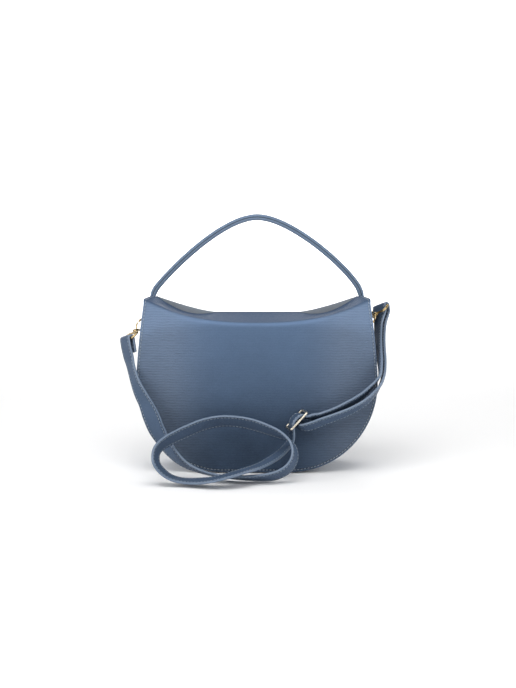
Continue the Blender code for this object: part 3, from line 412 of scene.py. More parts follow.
def mark_rim(thing):
    """Store each point's distance from the cut edge, in metres, as the attribute rim."""
    shape = bmesh.new()
    shape.from_mesh(thing.data)
    borders = [edge for edge in shape.edges if edge.is_boundary]
    tree = KDTree(RIM_SPOTS * len(borders))
    for number, edge in enumerate(borders):
        for step in range(RIM_SPOTS):
            spot = edge.verts[0].co.lerp(edge.verts[1].co, step / RIM_SPOTS)
            tree.insert(spot, RIM_SPOTS * number + step)
    tree.balance()
    shape.free()
    rim = thing.data.attributes.new("rim", "FLOAT", "POINT")
    rim.data.foreach_set("value", [tree.find(p.co)[2] for p in thing.data.vertices])


def cut_and_paint(thing, wall, outside, inside, rounding=0.00045, offset=-1.0):
    """Thickness, rounded edge and the three materials of a leather piece."""
    mark_rim(thing)
    for material in (outside, inside, EDGE):
        thing.data.materials.append(material)
    hide = thing.modifiers.new("hide", "SOLIDIFY")
    hide.thickness, hide.offset, hide.use_even_offset = wall, offset, True
    hide.material_offset, hide.material_offset_rim = 1, 2
    sanded = thing.modifiers.new("sanded", "BEVEL")
    sanded.width, sanded.segments = min(rounding, 0.42 * wall), 2
    sanded.limit_method, sanded.angle_limit = "ANGLE", radians(50)
    return apply_all(thing)


# %% [markdown]
# ## Stitches
# A seam is one stitch, repeated. The stitch is a small grain of thread, modelled once from a
# sphere. An Array repeats it at the seam's pitch, and a Curve modifier lays the row on its path,
# so the stitches lean into every bend as real ones do.

# %% Stitch row
STITCH_PITCH, STITCH_LENGTH, THREAD_WIDTH = 0.0036, 0.0027, 0.00055


def path_length(path):
    return sum((b - a).length for a, b in zip(path, path[1:]))


def round_seam(spot, top, steps, base_steps):
    """A seam's path: down the left side of spot(u, part), along its base and up the right."""
    parts = [top - top * step / steps for step in range(steps + 1)]
    base = [-1.0 + 2.0 * step / base_steps for step in range(1, base_steps)]
    return ([spot(-1.0, part) for part in parts] + [spot(u, 0.0) for u in base]
            + [spot(1.0, part) for part in reversed(parts)])


def stitch_row(name, path, body):
    lane = drawn_curve(f"{name}_lane", path)
    row = added(name, bpy.ops.mesh.primitive_uv_sphere_add, segments=6, ring_count=5, radius=0.5,
                rotation=(0.0, pi / 2, 0.0), scale=(THREAD_WIDTH, THREAD_WIDTH, STITCH_LENGTH))
    bpy.ops.object.transform_apply(location=True, rotation=True, scale=True)
    bpy.ops.object.mode_set(mode="EDIT")
    bpy.ops.transform.translate(value=(STITCH_PITCH / 2, 0.0, 0.0))
    bpy.ops.object.mode_set(mode="OBJECT")
    repeat = row.modifiers.new("repeat", "ARRAY")
    repeat.count = max(1, int(path_length(path) / STITCH_PITCH))
    repeat.use_relative_offset = False
    repeat.use_constant_offset = True
    repeat.constant_offset_displace = (STITCH_PITCH, 0.0, 0.0)
    along = row.modifiers.new("along", "CURVE")
    along.object = lane
    row.data.materials.append(THREAD)
    apply_all(row, 60)
    bpy.data.objects.remove(lane)
    return hand_over(row, body, "leather")


# %% [markdown]
# ## The shape of the bag
# Seen from the front the bag is a half moon that narrows a little towards the top, and its top is
# a saddle: the fold of the flap dips in the middle. Seen from the side the body tapers from its
# base to its top. These few functions give those curves, and every sheet is laid on them.

# %% Outline and faces
BAG_HALF_WIDTH, BAG_HEIGHT = 0.125, 0.181
BASE_DEPTH, TOP_DEPTH = 0.082, 0.054
WIDEST_HEIGHT, FLAT_HALF_WIDTH = 0.094, 0.035
FACE_CROWN = 0.003
TOP_TAPER, TAPER_POWER = 0.0076, 1.5
FLAP_FLOOR_GAP, FLAP_OVERHANG, FLAP_REAR_HALF_WIDTH = 0.0015, 0.0103, 0.111
CREASE_DIP, CREASE_POWER, CREASE_ROUNDING = 0.0252, 2.4, 0.006
BACK_EDGE_DIP, BACK_EDGE_FLAT_SHARE, BACK_EDGE_POWER = 0.020, 0.40, 1.3
BACK_EDGE_REVEAL, REVEAL_END_SHARE = 0.006, 0.86
GAP, FLAP_HIDE, FLAP_BOARD, FLAP_SUEDE = 0.0003, 0.0014, 0.0008, 0.0008
PANEL_HIDE, BODY_BOARD, CLOTH, BASE_BOARD, SNAP_SPACE = 0.0015, 0.0010, 0.0006, 0.0020, 0.0036
FRONT_DROP, GUSSET_DROP = 0.006, 0.011


def half_width(z, inset):
    """Half the bag's width at a level above the widest one."""
    climb = (z - WIDEST_HEIGHT) / (BAG_HEIGHT - WIDEST_HEIGHT)
    return BAG_HALF_WIDTH - inset - TOP_TAPER * climb ** TAPER_POWER


def crease_height(x):
    share = min(1.0, abs(x) / (BAG_HALF_WIDTH - TOP_TAPER))
    return BAG_HEIGHT - CREASE_DIP * (1.0 - share ** CREASE_POWER)


def back_climb(x):
    share = min(1.0, abs(x) / (BAG_HALF_WIDTH - FLAP_OVERHANG))
    return max(0.0, share - BACK_EDGE_FLAT_SHARE) / (1.0 - BACK_EDGE_FLAT_SHARE)


def back_edge_height(x):
    return BAG_HEIGHT - BACK_EDGE_DIP * (1.0 - back_climb(x) ** BACK_EDGE_POWER)


def flap_seam_height(x):
    reveal = BACK_EDGE_REVEAL * sin(pi * min(1.0, back_climb(x) / REVEAL_END_SHARE))
    return back_edge_height(x) - reveal - FLAP_HIDE / 2


def face_depth(x, z):
    taper = (BASE_DEPTH - TOP_DEPTH) / 2 * z / BAG_HEIGHT
    upright = sin(pi * clamp(z / BAG_HEIGHT))
    return BASE_DEPTH / 2 - taper + FACE_CROWN * (1.0 - (x / BAG_HALF_WIDTH) ** 2) * upright


def front_y(x, z, layer):
    return layer - face_depth(x, z)


def back_y(x, z, layer):
    return face_depth(x, z) - layer


def row_level(part, inset, bottom):
    """Level and half width at a row: part 0 to 1 is the round below, 1 to 2 the side above."""
    if part <= 1.0:
        turn = pi / 2 * part
        return (WIDEST_HEIGHT - (WIDEST_HEIGHT - bottom) * cos(turn),
                FLAT_HALF_WIDTH + (BAG_HALF_WIDTH - inset - FLAT_HALF_WIDTH) * sin(turn))
    level = WIDEST_HEIGHT + (BAG_HEIGHT - WIDEST_HEIGHT) * (part - 1.0)
    return level, half_width(level, inset)


def stretched(level, top):
    """A level of the upper side, moved so that the bag's full height lands on top."""
    rise = max(0.0, level - WIDEST_HEIGHT) / (BAG_HEIGHT - WIDEST_HEIGHT)
    return level if rise == 0.0 else WIDEST_HEIGHT + rise * (top - WIDEST_HEIGHT)


# %% [markdown]
# ## The flap
# One piece of hide runs from the base up the front, round the saddle fold and back over the top
# to its seam on the back panel. The fold keeps a soft ridge, because the board inside ends just
# below it. The flap's lining follows it on the inside, a board's thickness away.

# %% Flap
def flap_lay(u, part, layer, inset):
    """A point of the flap: part 0 to 2 up the front, to 3 round the fold, to 4 over the top."""
    bottom = FLAP_FLOOR_GAP + inset
    side = half_width(BAG_HEIGHT, inset)
    x = u * side
    corner_z = crease_height(x) - layer
    corner = Vector((x, front_y(x, corner_z, layer), corner_z))
    rear_x = u * (FLAP_REAR_HALF_WIDTH - inset)
    seam_z = flap_seam_height(rear_x)
    rear = Vector((rear_x, back_y(rear_x, seam_z, PANEL_HIDE + GAP), seam_z - layer))
    bend_end = corner + (rear - corner).normalized() * CREASE_ROUNDING
    leaf_top = corner_z - CREASE_ROUNDING
    if part <= 2.0:
        level, half = row_level(part, inset, bottom)
        x, z = u * half, stretched(level, leaf_top)
        return Vector((x, front_y(x, z, layer), z))
    if part <= 3.0:
        t = part - 2.0
        start = Vector((x, front_y(x, leaf_top, layer), leaf_top))
        return start * (1 - t) ** 2 + corner * 2 * t * (1 - t) + bend_end * t * t
    return bend_end.lerp(rear, part - 3.0)


FLAP_STOPS = ((0.0, 0.0), (0.42, 1.0), (0.66, 2.0), (0.80, 3.0), (1.0, 4.0))


def along_stops(v, stops):
    for (low, first), (high, last) in zip(stops, stops[1:]):
        if v <= high:
            return first + (last - first) * (v - low) / (high - low)
    return stops[-1][1]


def flap_sheet(name, layer, inset, wall, outside, inside):
    thing = sheet(name, 72, 90, lambda u, v: flap_lay(
        u, along_stops(v, FLAP_STOPS), layer, inset))
    return cut_and_paint(thing, wall, outside, inside)


flap = flap_sheet("flap_hide", 0.0, 0.0, FLAP_HIDE, FACE_LEATHER, SUEDE)
hand_over(flap, "flap", "leather", "flap_leather")
suede_side = flap_sheet("flap_suede", FLAP_HIDE + FLAP_BOARD + 2 * GAP, FLAP_SUEDE, FLAP_SUEDE,
                        SUEDE, SUEDE)
hand_over(suede_side, "flap", "suede", "flap_lining")

# %% Seam round the flap
THREAD_LIFT, FLAP_SEAM_END = 0.00012, 3.9
flap_path = round_seam(lambda u, part: flap_lay(u, part, -THREAD_LIFT, SEAM_INSET),
                       FLAP_SEAM_END, 150, 20)
stitch_row("flap_seam", flap_path, "flap")

# %% [markdown]
# ## The body
# Two half-moon panels and one long band make the body. The band, the gusset, runs down one side,
# under the base and up the other. All of it is the same hide, and each piece has its lining.

# %% Panels
FRONT_LAYER = FLAP_HIDE + FLAP_BOARD + FLAP_SUEDE + 2 * GAP + SNAP_SPACE
BACK_CLOTH_LAYER = PANEL_HIDE + BODY_BOARD + 2 * GAP
FRONT_CLOTH_LAYER = FRONT_LAYER + BACK_CLOTH_LAYER
GUSSET_CLOTH_INSET = PANEL_HIDE + GAP
INNER_INSET = GUSSET_CLOTH_INSET + BASE_BOARD + CLOTH + 2 * GAP


def panel_lay(u, part, front, layer, inset, top_edge):
    level, side = row_level(part, FLAP_OVERHANG + inset, inset)
    x = (u if front else -u) * side
    z = stretched(level, top_edge(x))
    return Vector((x, front_y(x, z, layer) if front else back_y(x, z, layer), z))


PANEL_STOPS = ((0.0, 0.0), (0.6, 1.0), (1.0, 2.0))


def panel(name, node, slot, front, layer, top_edge):
    """A half moon of hide, or of cloth inside the gusset and the base board."""
    inset, wall, outside, inside, columns = (
        (INNER_INSET, CLOTH, LINING_CLOTH, LINING_CLOTH, 40) if slot == "cloth"
        else (0.0, PANEL_HIDE, BODY_LEATHER, SUEDE, 60))
    thing = sheet(name, columns, 56, lambda u, v: panel_lay(
        u, along_stops(v, PANEL_STOPS), front, layer, inset, top_edge))
    hand_over(cut_and_paint(thing, wall, outside, inside), "bag_body", slot, node)


def front_top(x):
    return crease_height(x) - FRONT_DROP


panel("front_hide", "front_panel", "leather", True, FRONT_LAYER, front_top)
panel("back_hide", "back_panel", "leather", False, 0.0, back_edge_height)
panel("front_cloth", "front_lining", "cloth", True, FRONT_CLOTH_LAYER,
      lambda x: front_top(x) - GAP)
panel("back_cloth", "back_lining", "cloth", False, BACK_CLOTH_LAYER,
      lambda x: flap_seam_height(x) - GUSSET_DROP)


def panel_seam(front, layer, top_edge):
    """A seam round a panel, just inside its cut edge."""
    def lay(u, part):
        return panel_lay(u, part, front, layer - THREAD_LIFT, SEAM_INSET,
                         lambda x: top_edge(x) - SEAM_INSET)
    return round_seam(lay, 2.0, 120, 20)


stitch_row("front_seam", panel_seam(True, FRONT_LAYER, front_top), "bag_body")
stitch_row("back_seam", panel_seam(False, 0.0, back_edge_height), "bag_body")

# %% Gusset
FLAT_SHARE, ROUND_SHARE = 0.16, 0.68
GUSSET_CLIMB = (BAG_HEIGHT - GUSSET_DROP - WIDEST_HEIGHT) / (BAG_HEIGHT - WIDEST_HEIGHT)


def gusset_lay(u, v, inset):
    """u goes from the front edge to the back edge, v from the left top to the right top."""
    along = 2.0 * v - 1.0
    side, reach = (-1 if along < 0 else 1), abs(along)
    if reach <= FLAT_SHARE:
        x, z = side * FLAT_HALF_WIDTH * reach / FLAT_SHARE, inset
    else:
        share = (reach - FLAT_SHARE) / (1.0 - FLAT_SHARE)
        rise = max(0.0, share - ROUND_SHARE) / (1.0 - ROUND_SHARE)
        part = min(1.0, share / ROUND_SHARE) + GUSSET_CLIMB * rise
        z, half = row_level(part, FLAP_OVERHANG + inset, inset)
        x = side * half
    near = front_y(x, z, FRONT_LAYER + PANEL_HIDE + GAP)
    far = back_y(x, z, PANEL_HIDE + GAP)
    return Vector((x, near + (far - near) * (u + 1.0) / 2, z))


band = sheet("gusset_hide", 12, 120, lambda u, v: gusset_lay(u, v, 0.0))
hand_over(cut_and_paint(band, PANEL_HIDE, BODY_LEATHER, SUEDE), "bag_body", "leather", "gusset")
band = sheet("gusset_cloth", 8, 100, lambda u, v: gusset_lay(u, v, GUSSET_CLOTH_INSET))
hand_over(cut_and_paint(band, CLOTH, LINING_CLOTH, LINING_CLOTH), "bag_body", "cloth",
          "gusset_lining")

# %% [markdown]
# ## Sweeps
# The strap and the handle are each one section drawn along a path. The section is a closed row of
# points, and each station of the path says where its two directions point. A grid primitive gives
# the faces, its first and last columns are merged into a closed skin, and the two open ends are
# filled.

# %% Sweep
def sweep(name, stations, section, edge_columns=(), scales=None):
    """stations are (middle, side, up); section is a list of (sideways, upwards, rim)."""
    columns, rows = len(section), len(stations) - 1
    thing = added(name, bpy.ops.mesh.primitive_grid_add, x_subdivisions=columns,
                  y_subdivisions=rows, size=2.0)
    rims = []
    for point in thing.data.vertices:
        column = round((point.co.x + 1) / 2 * columns)
        row = round((point.co.y + 1) / 2 * rows)
        middle, side, up = stations[row]
        across, above, rim = section[column % columns]
        scale = scales[row] if scales else 1.0
        point.co = middle + (side * across + up * above) * scale
        rims.append(rim)
    thing.data.attributes.new("rim", "FLOAT", "POINT").data.foreach_set("value", rims)
    for number, face in enumerate(thing.data.polygons):
        face.material_index = 1 if number % columns in edge_columns else 0
    bpy.ops.object.mode_set(mode="EDIT")
    bpy.ops.mesh.select_all(action="SELECT")
    bpy.ops.mesh.remove_doubles(threshold=WELD)
    bpy.ops.mesh.select_all(action="DESELECT")
    bpy.ops.mesh.select_mode(type="EDGE")
    bpy.ops.mesh.select_non_manifold(extend=False)
    bpy.ops.mesh.fill_holes(sides=0)
    bpy.ops.mesh.select_all(action="SELECT")
    bpy.ops.mesh.normals_make_consistent(inside=False)
    bpy.ops.mesh.select_mode(type="VERT")
    bpy.ops.object.mode_set(mode="OBJECT")
    return thing


def smooth_spot(points, spot):
    """A smooth curve through the points, by a running number along their list."""
    last = len(points) - 1
    index = min(max(int(spot), 0), last - 1)
    f = spot - index
    a, b = points[index], points[index + 1]
    before = points[index - 1] if index > 0 else a * 2 - b
    after = points[index + 2] if index + 2 <= last else b * 2 - a
    return 0.5 * (a * 2 + (b - before) * f + (before * 2 - a * 5 + b * 4 - after) * f * f
                  + (a * 3 - before - b * 3 + after) * f ** 3)


# %% [markdown]
# ## The handle
# The handle is hide rolled round a cord. Its two halves meet in a furrow that runs along the
# front and the back, so the section is a circle with two dents, and the furrows get painted
# shade. It stands as an arch, narrows into its feet, and the furrow at the back carries the
# thread. The upper side gets a painted highlight: a rim of zero there asks the leather for its
# pale edge colour. Smoothing blends each foot into the arch.

# %% Handle
HANDLE_HALF_SPAN, HANDLE_RISE, HANDLE_RADIUS = 0.1105, 0.079, 0.0034
HANDLE_FOOT_RADIUS, HANDLE_FOOT_RISE, HANDLE_NECK_LENGTH = 0.0024, 0.0030, 0.0060
HANDLE_FOOT_LENGTH, HANDLE_FOOT_SPREAD = 0.0135, 0.0024
LEFT_BEND = ((1.0, 0.0), (0.852, 0.268), (0.336, 1.0), (0.0, 1.0))
RIGHT_BEND = ((1.0, 0.0), (0.920, 0.268), (0.336, 1.0), (0.0, 1.0))
TAB_WIDTH, TAB_LENGTH, TAB_HIDE = 0.014, 0.024, 0.0020
FURROW_TURN, FURROW_SPREAD, FURROW_DEPTH, BELL_BASE = radians(8), 0.26, 0.34, 2.718
HANDLE_SIDES, ARCH_STEPS, FOOT_STEPS = 28, 70, 10
BLEND_PASSES, BLEND_END, NECK_DELAY = 14, 24, 0.6
FOOT_CAP_DEGREES = (86, 70, 50, 28)
PAINTED_HIGHLIGHT_ABOVE, FAR_FROM_RIM = 0.4, 0.01
HANDLE_SEAM_ENDS, HANDLE_THREAD_LIFT = 14, 0.0001
TAB_END_SHARE, TAB_ROUND_SHARE, TAB_SEAM_INSET, TAB_ROUNDING = 0.25, 0.28, 0.0018, 0.0006

arch_z = back_edge_height(HANDLE_HALF_SPAN) + HANDLE_FOOT_RISE
foot = Vector((HANDLE_HALF_SPAN + HANDLE_FOOT_SPREAD, 0.0, arch_z - HANDLE_FOOT_LENGTH))
foot.y = back_y(foot.x, foot.z, -GAP - HANDLE_RADIUS)


def arch_spot(bend, t):
    weights = ((1 - t) ** 3, 3 * t * (1 - t) ** 2, 3 * t * t * (1 - t), t ** 3)
    x = sum(w * p[0] for w, p in zip(weights, bend)) * HANDLE_HALF_SPAN
    z = sum(w * p[1] for w, p in zip(weights, bend)) * HANDLE_RISE
    return Vector((x, foot.y, arch_z + z))


def handle_section():
    ring = []
    for step in range(HANDLE_SIDES):
        turn = 2 * pi * step / HANDLE_SIDES
        # Above this the rim is zero, which gives the upper side a painted highlight.
        radius, rim = HANDLE_RADIUS, 0.0 if sin(turn) > PAINTED_HIGHLIGHT_ABOVE else FAR_FROM_RIM
        for furrow in (FURROW_TURN, pi - FURROW_TURN):
            apart = abs((turn - furrow + pi) % (2 * pi) - pi)
            radius *= 1.0 - FURROW_DEPTH * BELL_BASE ** (-(apart / FURROW_SPREAD) ** 2)
            # The furrows take the seam's rim value, so the leather paints shade into them.
            rim = SEAM_INSET if apart < FURROW_SPREAD else rim
        ring.append((radius * cos(turn), radius * sin(turn), rim))
    return ring


def handle_half(bend):
    half = [foot.lerp(arch_spot(bend, 0.0), step / FOOT_STEPS) for step in range(FOOT_STEPS - 1)]
    half += [arch_spot(bend, step / ARCH_STEPS) for step in range(1, ARCH_STEPS + 1)]
    for _ in range(BLEND_PASSES):
        half[1:BLEND_END] = [(a + b * 2 + c) / 4
                             for a, b, c in zip(half, half[1:BLEND_END], half[2:])]
    up = (half[1] - half[0]).normalized()
    foot_share = HANDLE_FOOT_RADIUS / HANDLE_RADIUS
    spots, scales = [], []
    for turn in map(radians, FOOT_CAP_DEGREES):
        spots.append(half[0] - up * HANDLE_FOOT_RADIUS * sin(turn))
        scales.append(foot_share * cos(turn))
    for spot in half:
        climb = (spot - half[0]).length - NECK_DELAY * HANDLE_NECK_LENGTH
        share = clamp(climb / (HANDLE_NECK_LENGTH + HANDLE_RADIUS))
        spots.append(spot)
        scales.append(foot_share + (1.0 - foot_share) * share * share * (3 - 2 * share))
    return spots, scales


def handle_stations():
    spots, scales = handle_half(RIGHT_BEND)
    left, left_scales = handle_half(LEFT_BEND)
    spots += [Vector((-spot.x, spot.y, spot.z)) for spot in reversed(left[:-1])]
    scales += list(reversed(left_scales[:-1]))
    front = Vector((0.0, -1.0, 0.0))
    return [(spot, front, front.cross(heading(spots, number)).normalized() * -1)
            for number, spot in enumerate(spots)], scales


stations, scales = handle_stations()
handle = sweep("handle_roll", stations, handle_section(), scales=scales)
handle.data.materials.append(HANDLE_LEATHER)
hand_over(apply_all(handle, 60), "handle", "leather", "handle_leather")
furrow = HANDLE_RADIUS * (1.0 - FURROW_DEPTH) + HANDLE_THREAD_LIFT
stitch_row("handle_seam", [
    spot - front * furrow * cos(FURROW_TURN) + up * furrow * sin(FURROW_TURN)
    for spot, front, up in stations[HANDLE_SEAM_ENDS:-HANDLE_SEAM_ENDS]], "handle")


# %% Handle tabs
def handle_tab(name, side):
    top = foot.z - HANDLE_FOOT_RADIUS - GAP
    middle_x = side * (foot.x - TAB_WIDTH / 2 + HANDLE_RADIUS)

    def lay(u, v, inset=0.0, lift=0.0):
        """v goes up from the lower end, which is rounded off."""
        round_off = sqrt(1.0 - max(0.0, 1.0 - v / TAB_ROUND_SHARE) ** 2)
        half = (TAB_WIDTH / 2 - inset) * (TAB_END_SHARE + (1.0 - TAB_END_SHARE) * round_off)
        x, z = middle_x - u * half, top - inset - (TAB_LENGTH - 2 * inset) * (1.0 - v)
        return Vector((x, back_y(x, z, -GAP - TAB_HIDE - lift), z))
    tab = cut_and_paint(sheet(name, 14, 24, lay), TAB_HIDE, BODY_LEATHER, SUEDE,
                        rounding=TAB_ROUNDING)
    hand_over(tab, "bag_body", "leather", name.replace("tab_hide", "handle_tab"))
    path = round_seam(lambda u, v: lay(u, v, TAB_SEAM_INSET, THREAD_LIFT), 1.0, 24, 8)
    stitch_row(name.replace("tab_hide", "handle_tab_seam"), path, "bag_body")


handle_tab("tab_hide_left", -1)
handle_tab("tab_hide_right", 1)

# %% [markdown]
# ## Wire fittings
# Rings, hooks and the buckle are bent wire. Each is a curve with a round bevel, whose corners are
# cut two or three times, as a bending jig rounds them, and which is then turned into a mesh.
# Rivets and swivels are turned discs.

# %% Wire
WIRE_ROUNDNESS = 4
DISC_SIDES, DISC_INSET_SHARE, DISC_BEVEL_SHARE = 28, 0.35, 0.18
RIVET_RADIUS, RIVET_HEIGHT, RIVET_STEM_SHARE = 0.0026, 0.0012, 0.6


def rounded(points, closed, times=2, share=0.25):
    for _ in range(times):
        pairs = list(zip(points, points[1:] + points[:1] if closed else points[1:]))
        cut = [spot for a, b in pairs for spot in (a.lerp(b, share), a.lerp(b, 1 - share))]
        points = cut if closed else [points[0]] + cut[1:-1] + [points[-1]]
    return points


def wire(name, points, radius, material, closed=False, radii=None):
    thing = pick(drawn_curve(name, points, radii))
    thing.data.bevel_depth, thing.data.bevel_resolution = radius, WIRE_ROUNDNESS
    thing.data.use_fill_caps = not closed
    thing.data.splines[0].use_cyclic_u = closed
    bpy.ops.object.convert(target="MESH")
    thing = bpy.context.object
    bpy.ops.object.mode_set(mode="EDIT")
    bpy.ops.mesh.select_all(action="SELECT")
    bpy.ops.mesh.remove_doubles(threshold=WELD)
    bpy.ops.mesh.normals_make_consistent(inside=False)
    bpy.ops.object.mode_set(mode="OBJECT")
    thing.data.materials.clear()
    thing.data.materials.append(material)
    return apply_all(thing, 50)


def turned_disc(name, place, direction, radius, height, dish):
    """A short turned piece: a cylinder whose outer face is inset and pushed in or out."""
    direction = Vector(direction).normalized()
    disc = added(name, bpy.ops.mesh.primitive_cylinder_add, vertices=DISC_SIDES, radius=radius,
                 depth=height, location=(0.0, 0.0, height / 2))
    bpy.ops.object.transform_apply(location=True, rotation=True, scale=True)
    select_where(disc, "faces", lambda face: face.normal.z > 0.9)
    bpy.ops.mesh.inset(thickness=DISC_INSET_SHARE * radius, depth=0.0)
    bpy.ops.transform.translate(value=(0.0, 0.0, dish))
    bpy.ops.object.mode_set(mode="OBJECT")
    turned = disc.modifiers.new("turned", "BEVEL")
    turned.width, turned.segments, turned.limit_method = DISC_BEVEL_SHARE * height, 3, "ANGLE"
    disc.rotation_euler = direction.to_track_quat("Z", "Y").to_euler()
    disc.location = place
    disc.data.materials.append(GOLD)
    return apply_all(disc, 35)


def rivet(name, place, direction):
    """A rivet's head, whose middle stands above its rim."""
    stem = RIVET_STEM_SHARE * RIVET_HEIGHT
    return turned_disc(name, place, direction, RIVET_RADIUS, stem, RIVET_HEIGHT - stem)


# %% [markdown]
# ## Rings and their tabs
# A strip of hide is folded round the straight bar of a D-ring, and a rivet through both of its
# layers holds it on the gusset. The ring leans out to the side, where the clasp pulls it.

# %% Rings
RING_WIRE, RING_HALF, RING_SIDE, RING_BAR_HEIGHT = 0.0012, 0.008, 0.006, 0.162
RING_TAB_WIDTH, RING_TAB_HIDE, RING_TAB_DROP, RING_TAB_SPREAD = 0.0076, 0.0014, 0.019, 0.006
SIDES = {"left": -1, "right": 1}
RING_SWING = {"left": radians(36), "right": radians(37)}


def gusset_x(z):
    return half_width(z, FLAP_OVERHANG) + GAP


def ring_bar(name):
    out = gusset_x(RING_BAR_HEIGHT) + RING_WIRE + GAP + RING_TAB_HIDE
    return Vector((SIDES[name] * out, 0.0, RING_BAR_HEIGHT))


def ring_down(name):
    return Vector((SIDES[name] * sin(RING_SWING[name]), 0.0, -cos(RING_SWING[name])))


def ring_spot(name, turn):
    return (ring_bar(name) + ring_down(name) * (RING_SIDE + RING_HALF * cos(turn))
            + Vector((0.0, -RING_HALF * sin(turn), 0.0)))


def ring_and_tab(name):
    side, bar = SIDES[name], ring_bar(name)
    points = [bar + Vector((0.0, share * RING_HALF, 0.0)) for share in (1.0, 0.5, 0.0, -0.5, -1.0)]
    points += [ring_spot(name, pi / 2 - pi * step / 24) for step in range(25)]
    hand_over(wire(f"d_ring_{name}", rounded(points, True), RING_WIRE, GOLD, closed=True),
              f"ring_{name}", "gold", f"ring_{name}")
    fold = RING_WIRE + GAP + RING_TAB_HIDE / 2
    low, middle = RING_BAR_HEIGHT - RING_TAB_DROP, RING_BAR_HEIGHT - RING_TAB_SPREAD
    levels = [low + (middle - low) * step / 6 for step in range(7)]
    path = [(gusset_x(level) + RING_TAB_HIDE / 2, level) for level in levels]
    outer = [(x + RING_TAB_HIDE + GAP, z) for x, z in reversed(path)]
    path += [(abs(bar.x) + fold * cos(pi - pi * step / 16), bar.z + fold * sin(pi * step / 16))
             for step in range(17)]
    path += outer

    def lay(u, v):
        x, z = path[round(v * (len(path) - 1))]
        return Vector((side * x, -side * u * RING_TAB_WIDTH / 2, z))
    strip = sheet(f"ring_tab_hide_{name}", 8, len(path) - 1, lay)
    hand_over(cut_and_paint(strip, RING_TAB_HIDE, BODY_LEATHER, BODY_LEATHER, offset=0.0),
              "bag_body", "leather", f"ring_tab_{name}")
    (high_x, high_z), (low_x, low_z) = outer[0], outer[-1]
    outward = Vector((high_z - low_z, 0.0, low_x - high_x)).normalized()
    base = Vector(((low_x + high_x) / 2, 0.0, (low_z + high_z) / 2))
    base += outward * (RING_TAB_HIDE / 2 + GAP)
    hand_over(rivet(f"rivet_{name}", (side * base.x, 0.0, base.z),
                    (side * outward.x, 0.0, outward.z)), "bag_body", "gold", f"tab_rivet_{name}")


for side_name in SIDES:
    ring_and_tab(side_name)

# %% [markdown]
# ## Clasps
# A clasp hooks on its ring: a bent hook with a sprung gate across its mouth, a swivel on the
# hook's neck, and an eye whose far bar carries the strap. Each is laid out along the clasp's own
# axis, which starts at the point where the hook touches the ring.

# %% Clasps
CLASP_LENGTH, HOOK_WIRE, HOOK_BOW, HOOK_TIP = 0.0255, 0.0011, 0.0046, radians(205)
HOOK_TIP_RADIUS_SHARE, HOOK_TIP_GROWTH = 0.55, 0.15
NECK_START, NECK_END = 0.0098, 0.0118
NECK_SHARES = ((0.35, 1.0), (0.62, 0.85), (0.84, 0.50), (1.0, 0.10))
NECK_THIN_SHARE, NECK_SWELL, NECK_SWELL_RATE = 0.62, 0.7, 1.6
GATE_WIRE, GATE_SPOTS = 0.0008, ((0.0092, -0.0012), (0.0064, -0.0037), (0.0034, -0.0045))
SWIVEL_RADIUS, SWIVEL_LENGTH, SWIVEL_DISH = 0.0026, 0.0018, 0.0002
EYE_WIRE, EYE_SHOULDER = 0.0012, 0.0022
STRAP_WIDTH, STRAP_HIDE, STRAP_LEG, STRAP_LAP = 0.0195, 0.0026, 0.006, 0.015
HOOK_ON_ARC = {"left": radians(45), "right": radians(65)}
CLASP_AXIS = {"left": (-0.60, -0.55, -0.57), "right": (0.50, 0.70, 0.51)}
EYE_AXIS = {"left": (0.71, -0.54, 0.45), "right": (0.36, -0.92, 0.12)}
LEG_AXIS = {"left": (0.12, -0.15, -0.98), "right": (0.05, -0.30, -0.95)}


def clasp_axes(name):
    turn = HOOK_ON_ARC[name]
    axis = Vector(CLASP_AXIS[name]).normalized()
    ring_wire = Vector((0.0, -cos(turn), 0.0)) - ring_down(name) * sin(turn)
    bar = Vector(EYE_AXIS[name])
    bar = (bar - axis * bar.dot(axis)).normalized()
    return ring_spot(name, turn), axis, ring_wire.cross(axis).normalized(), bar


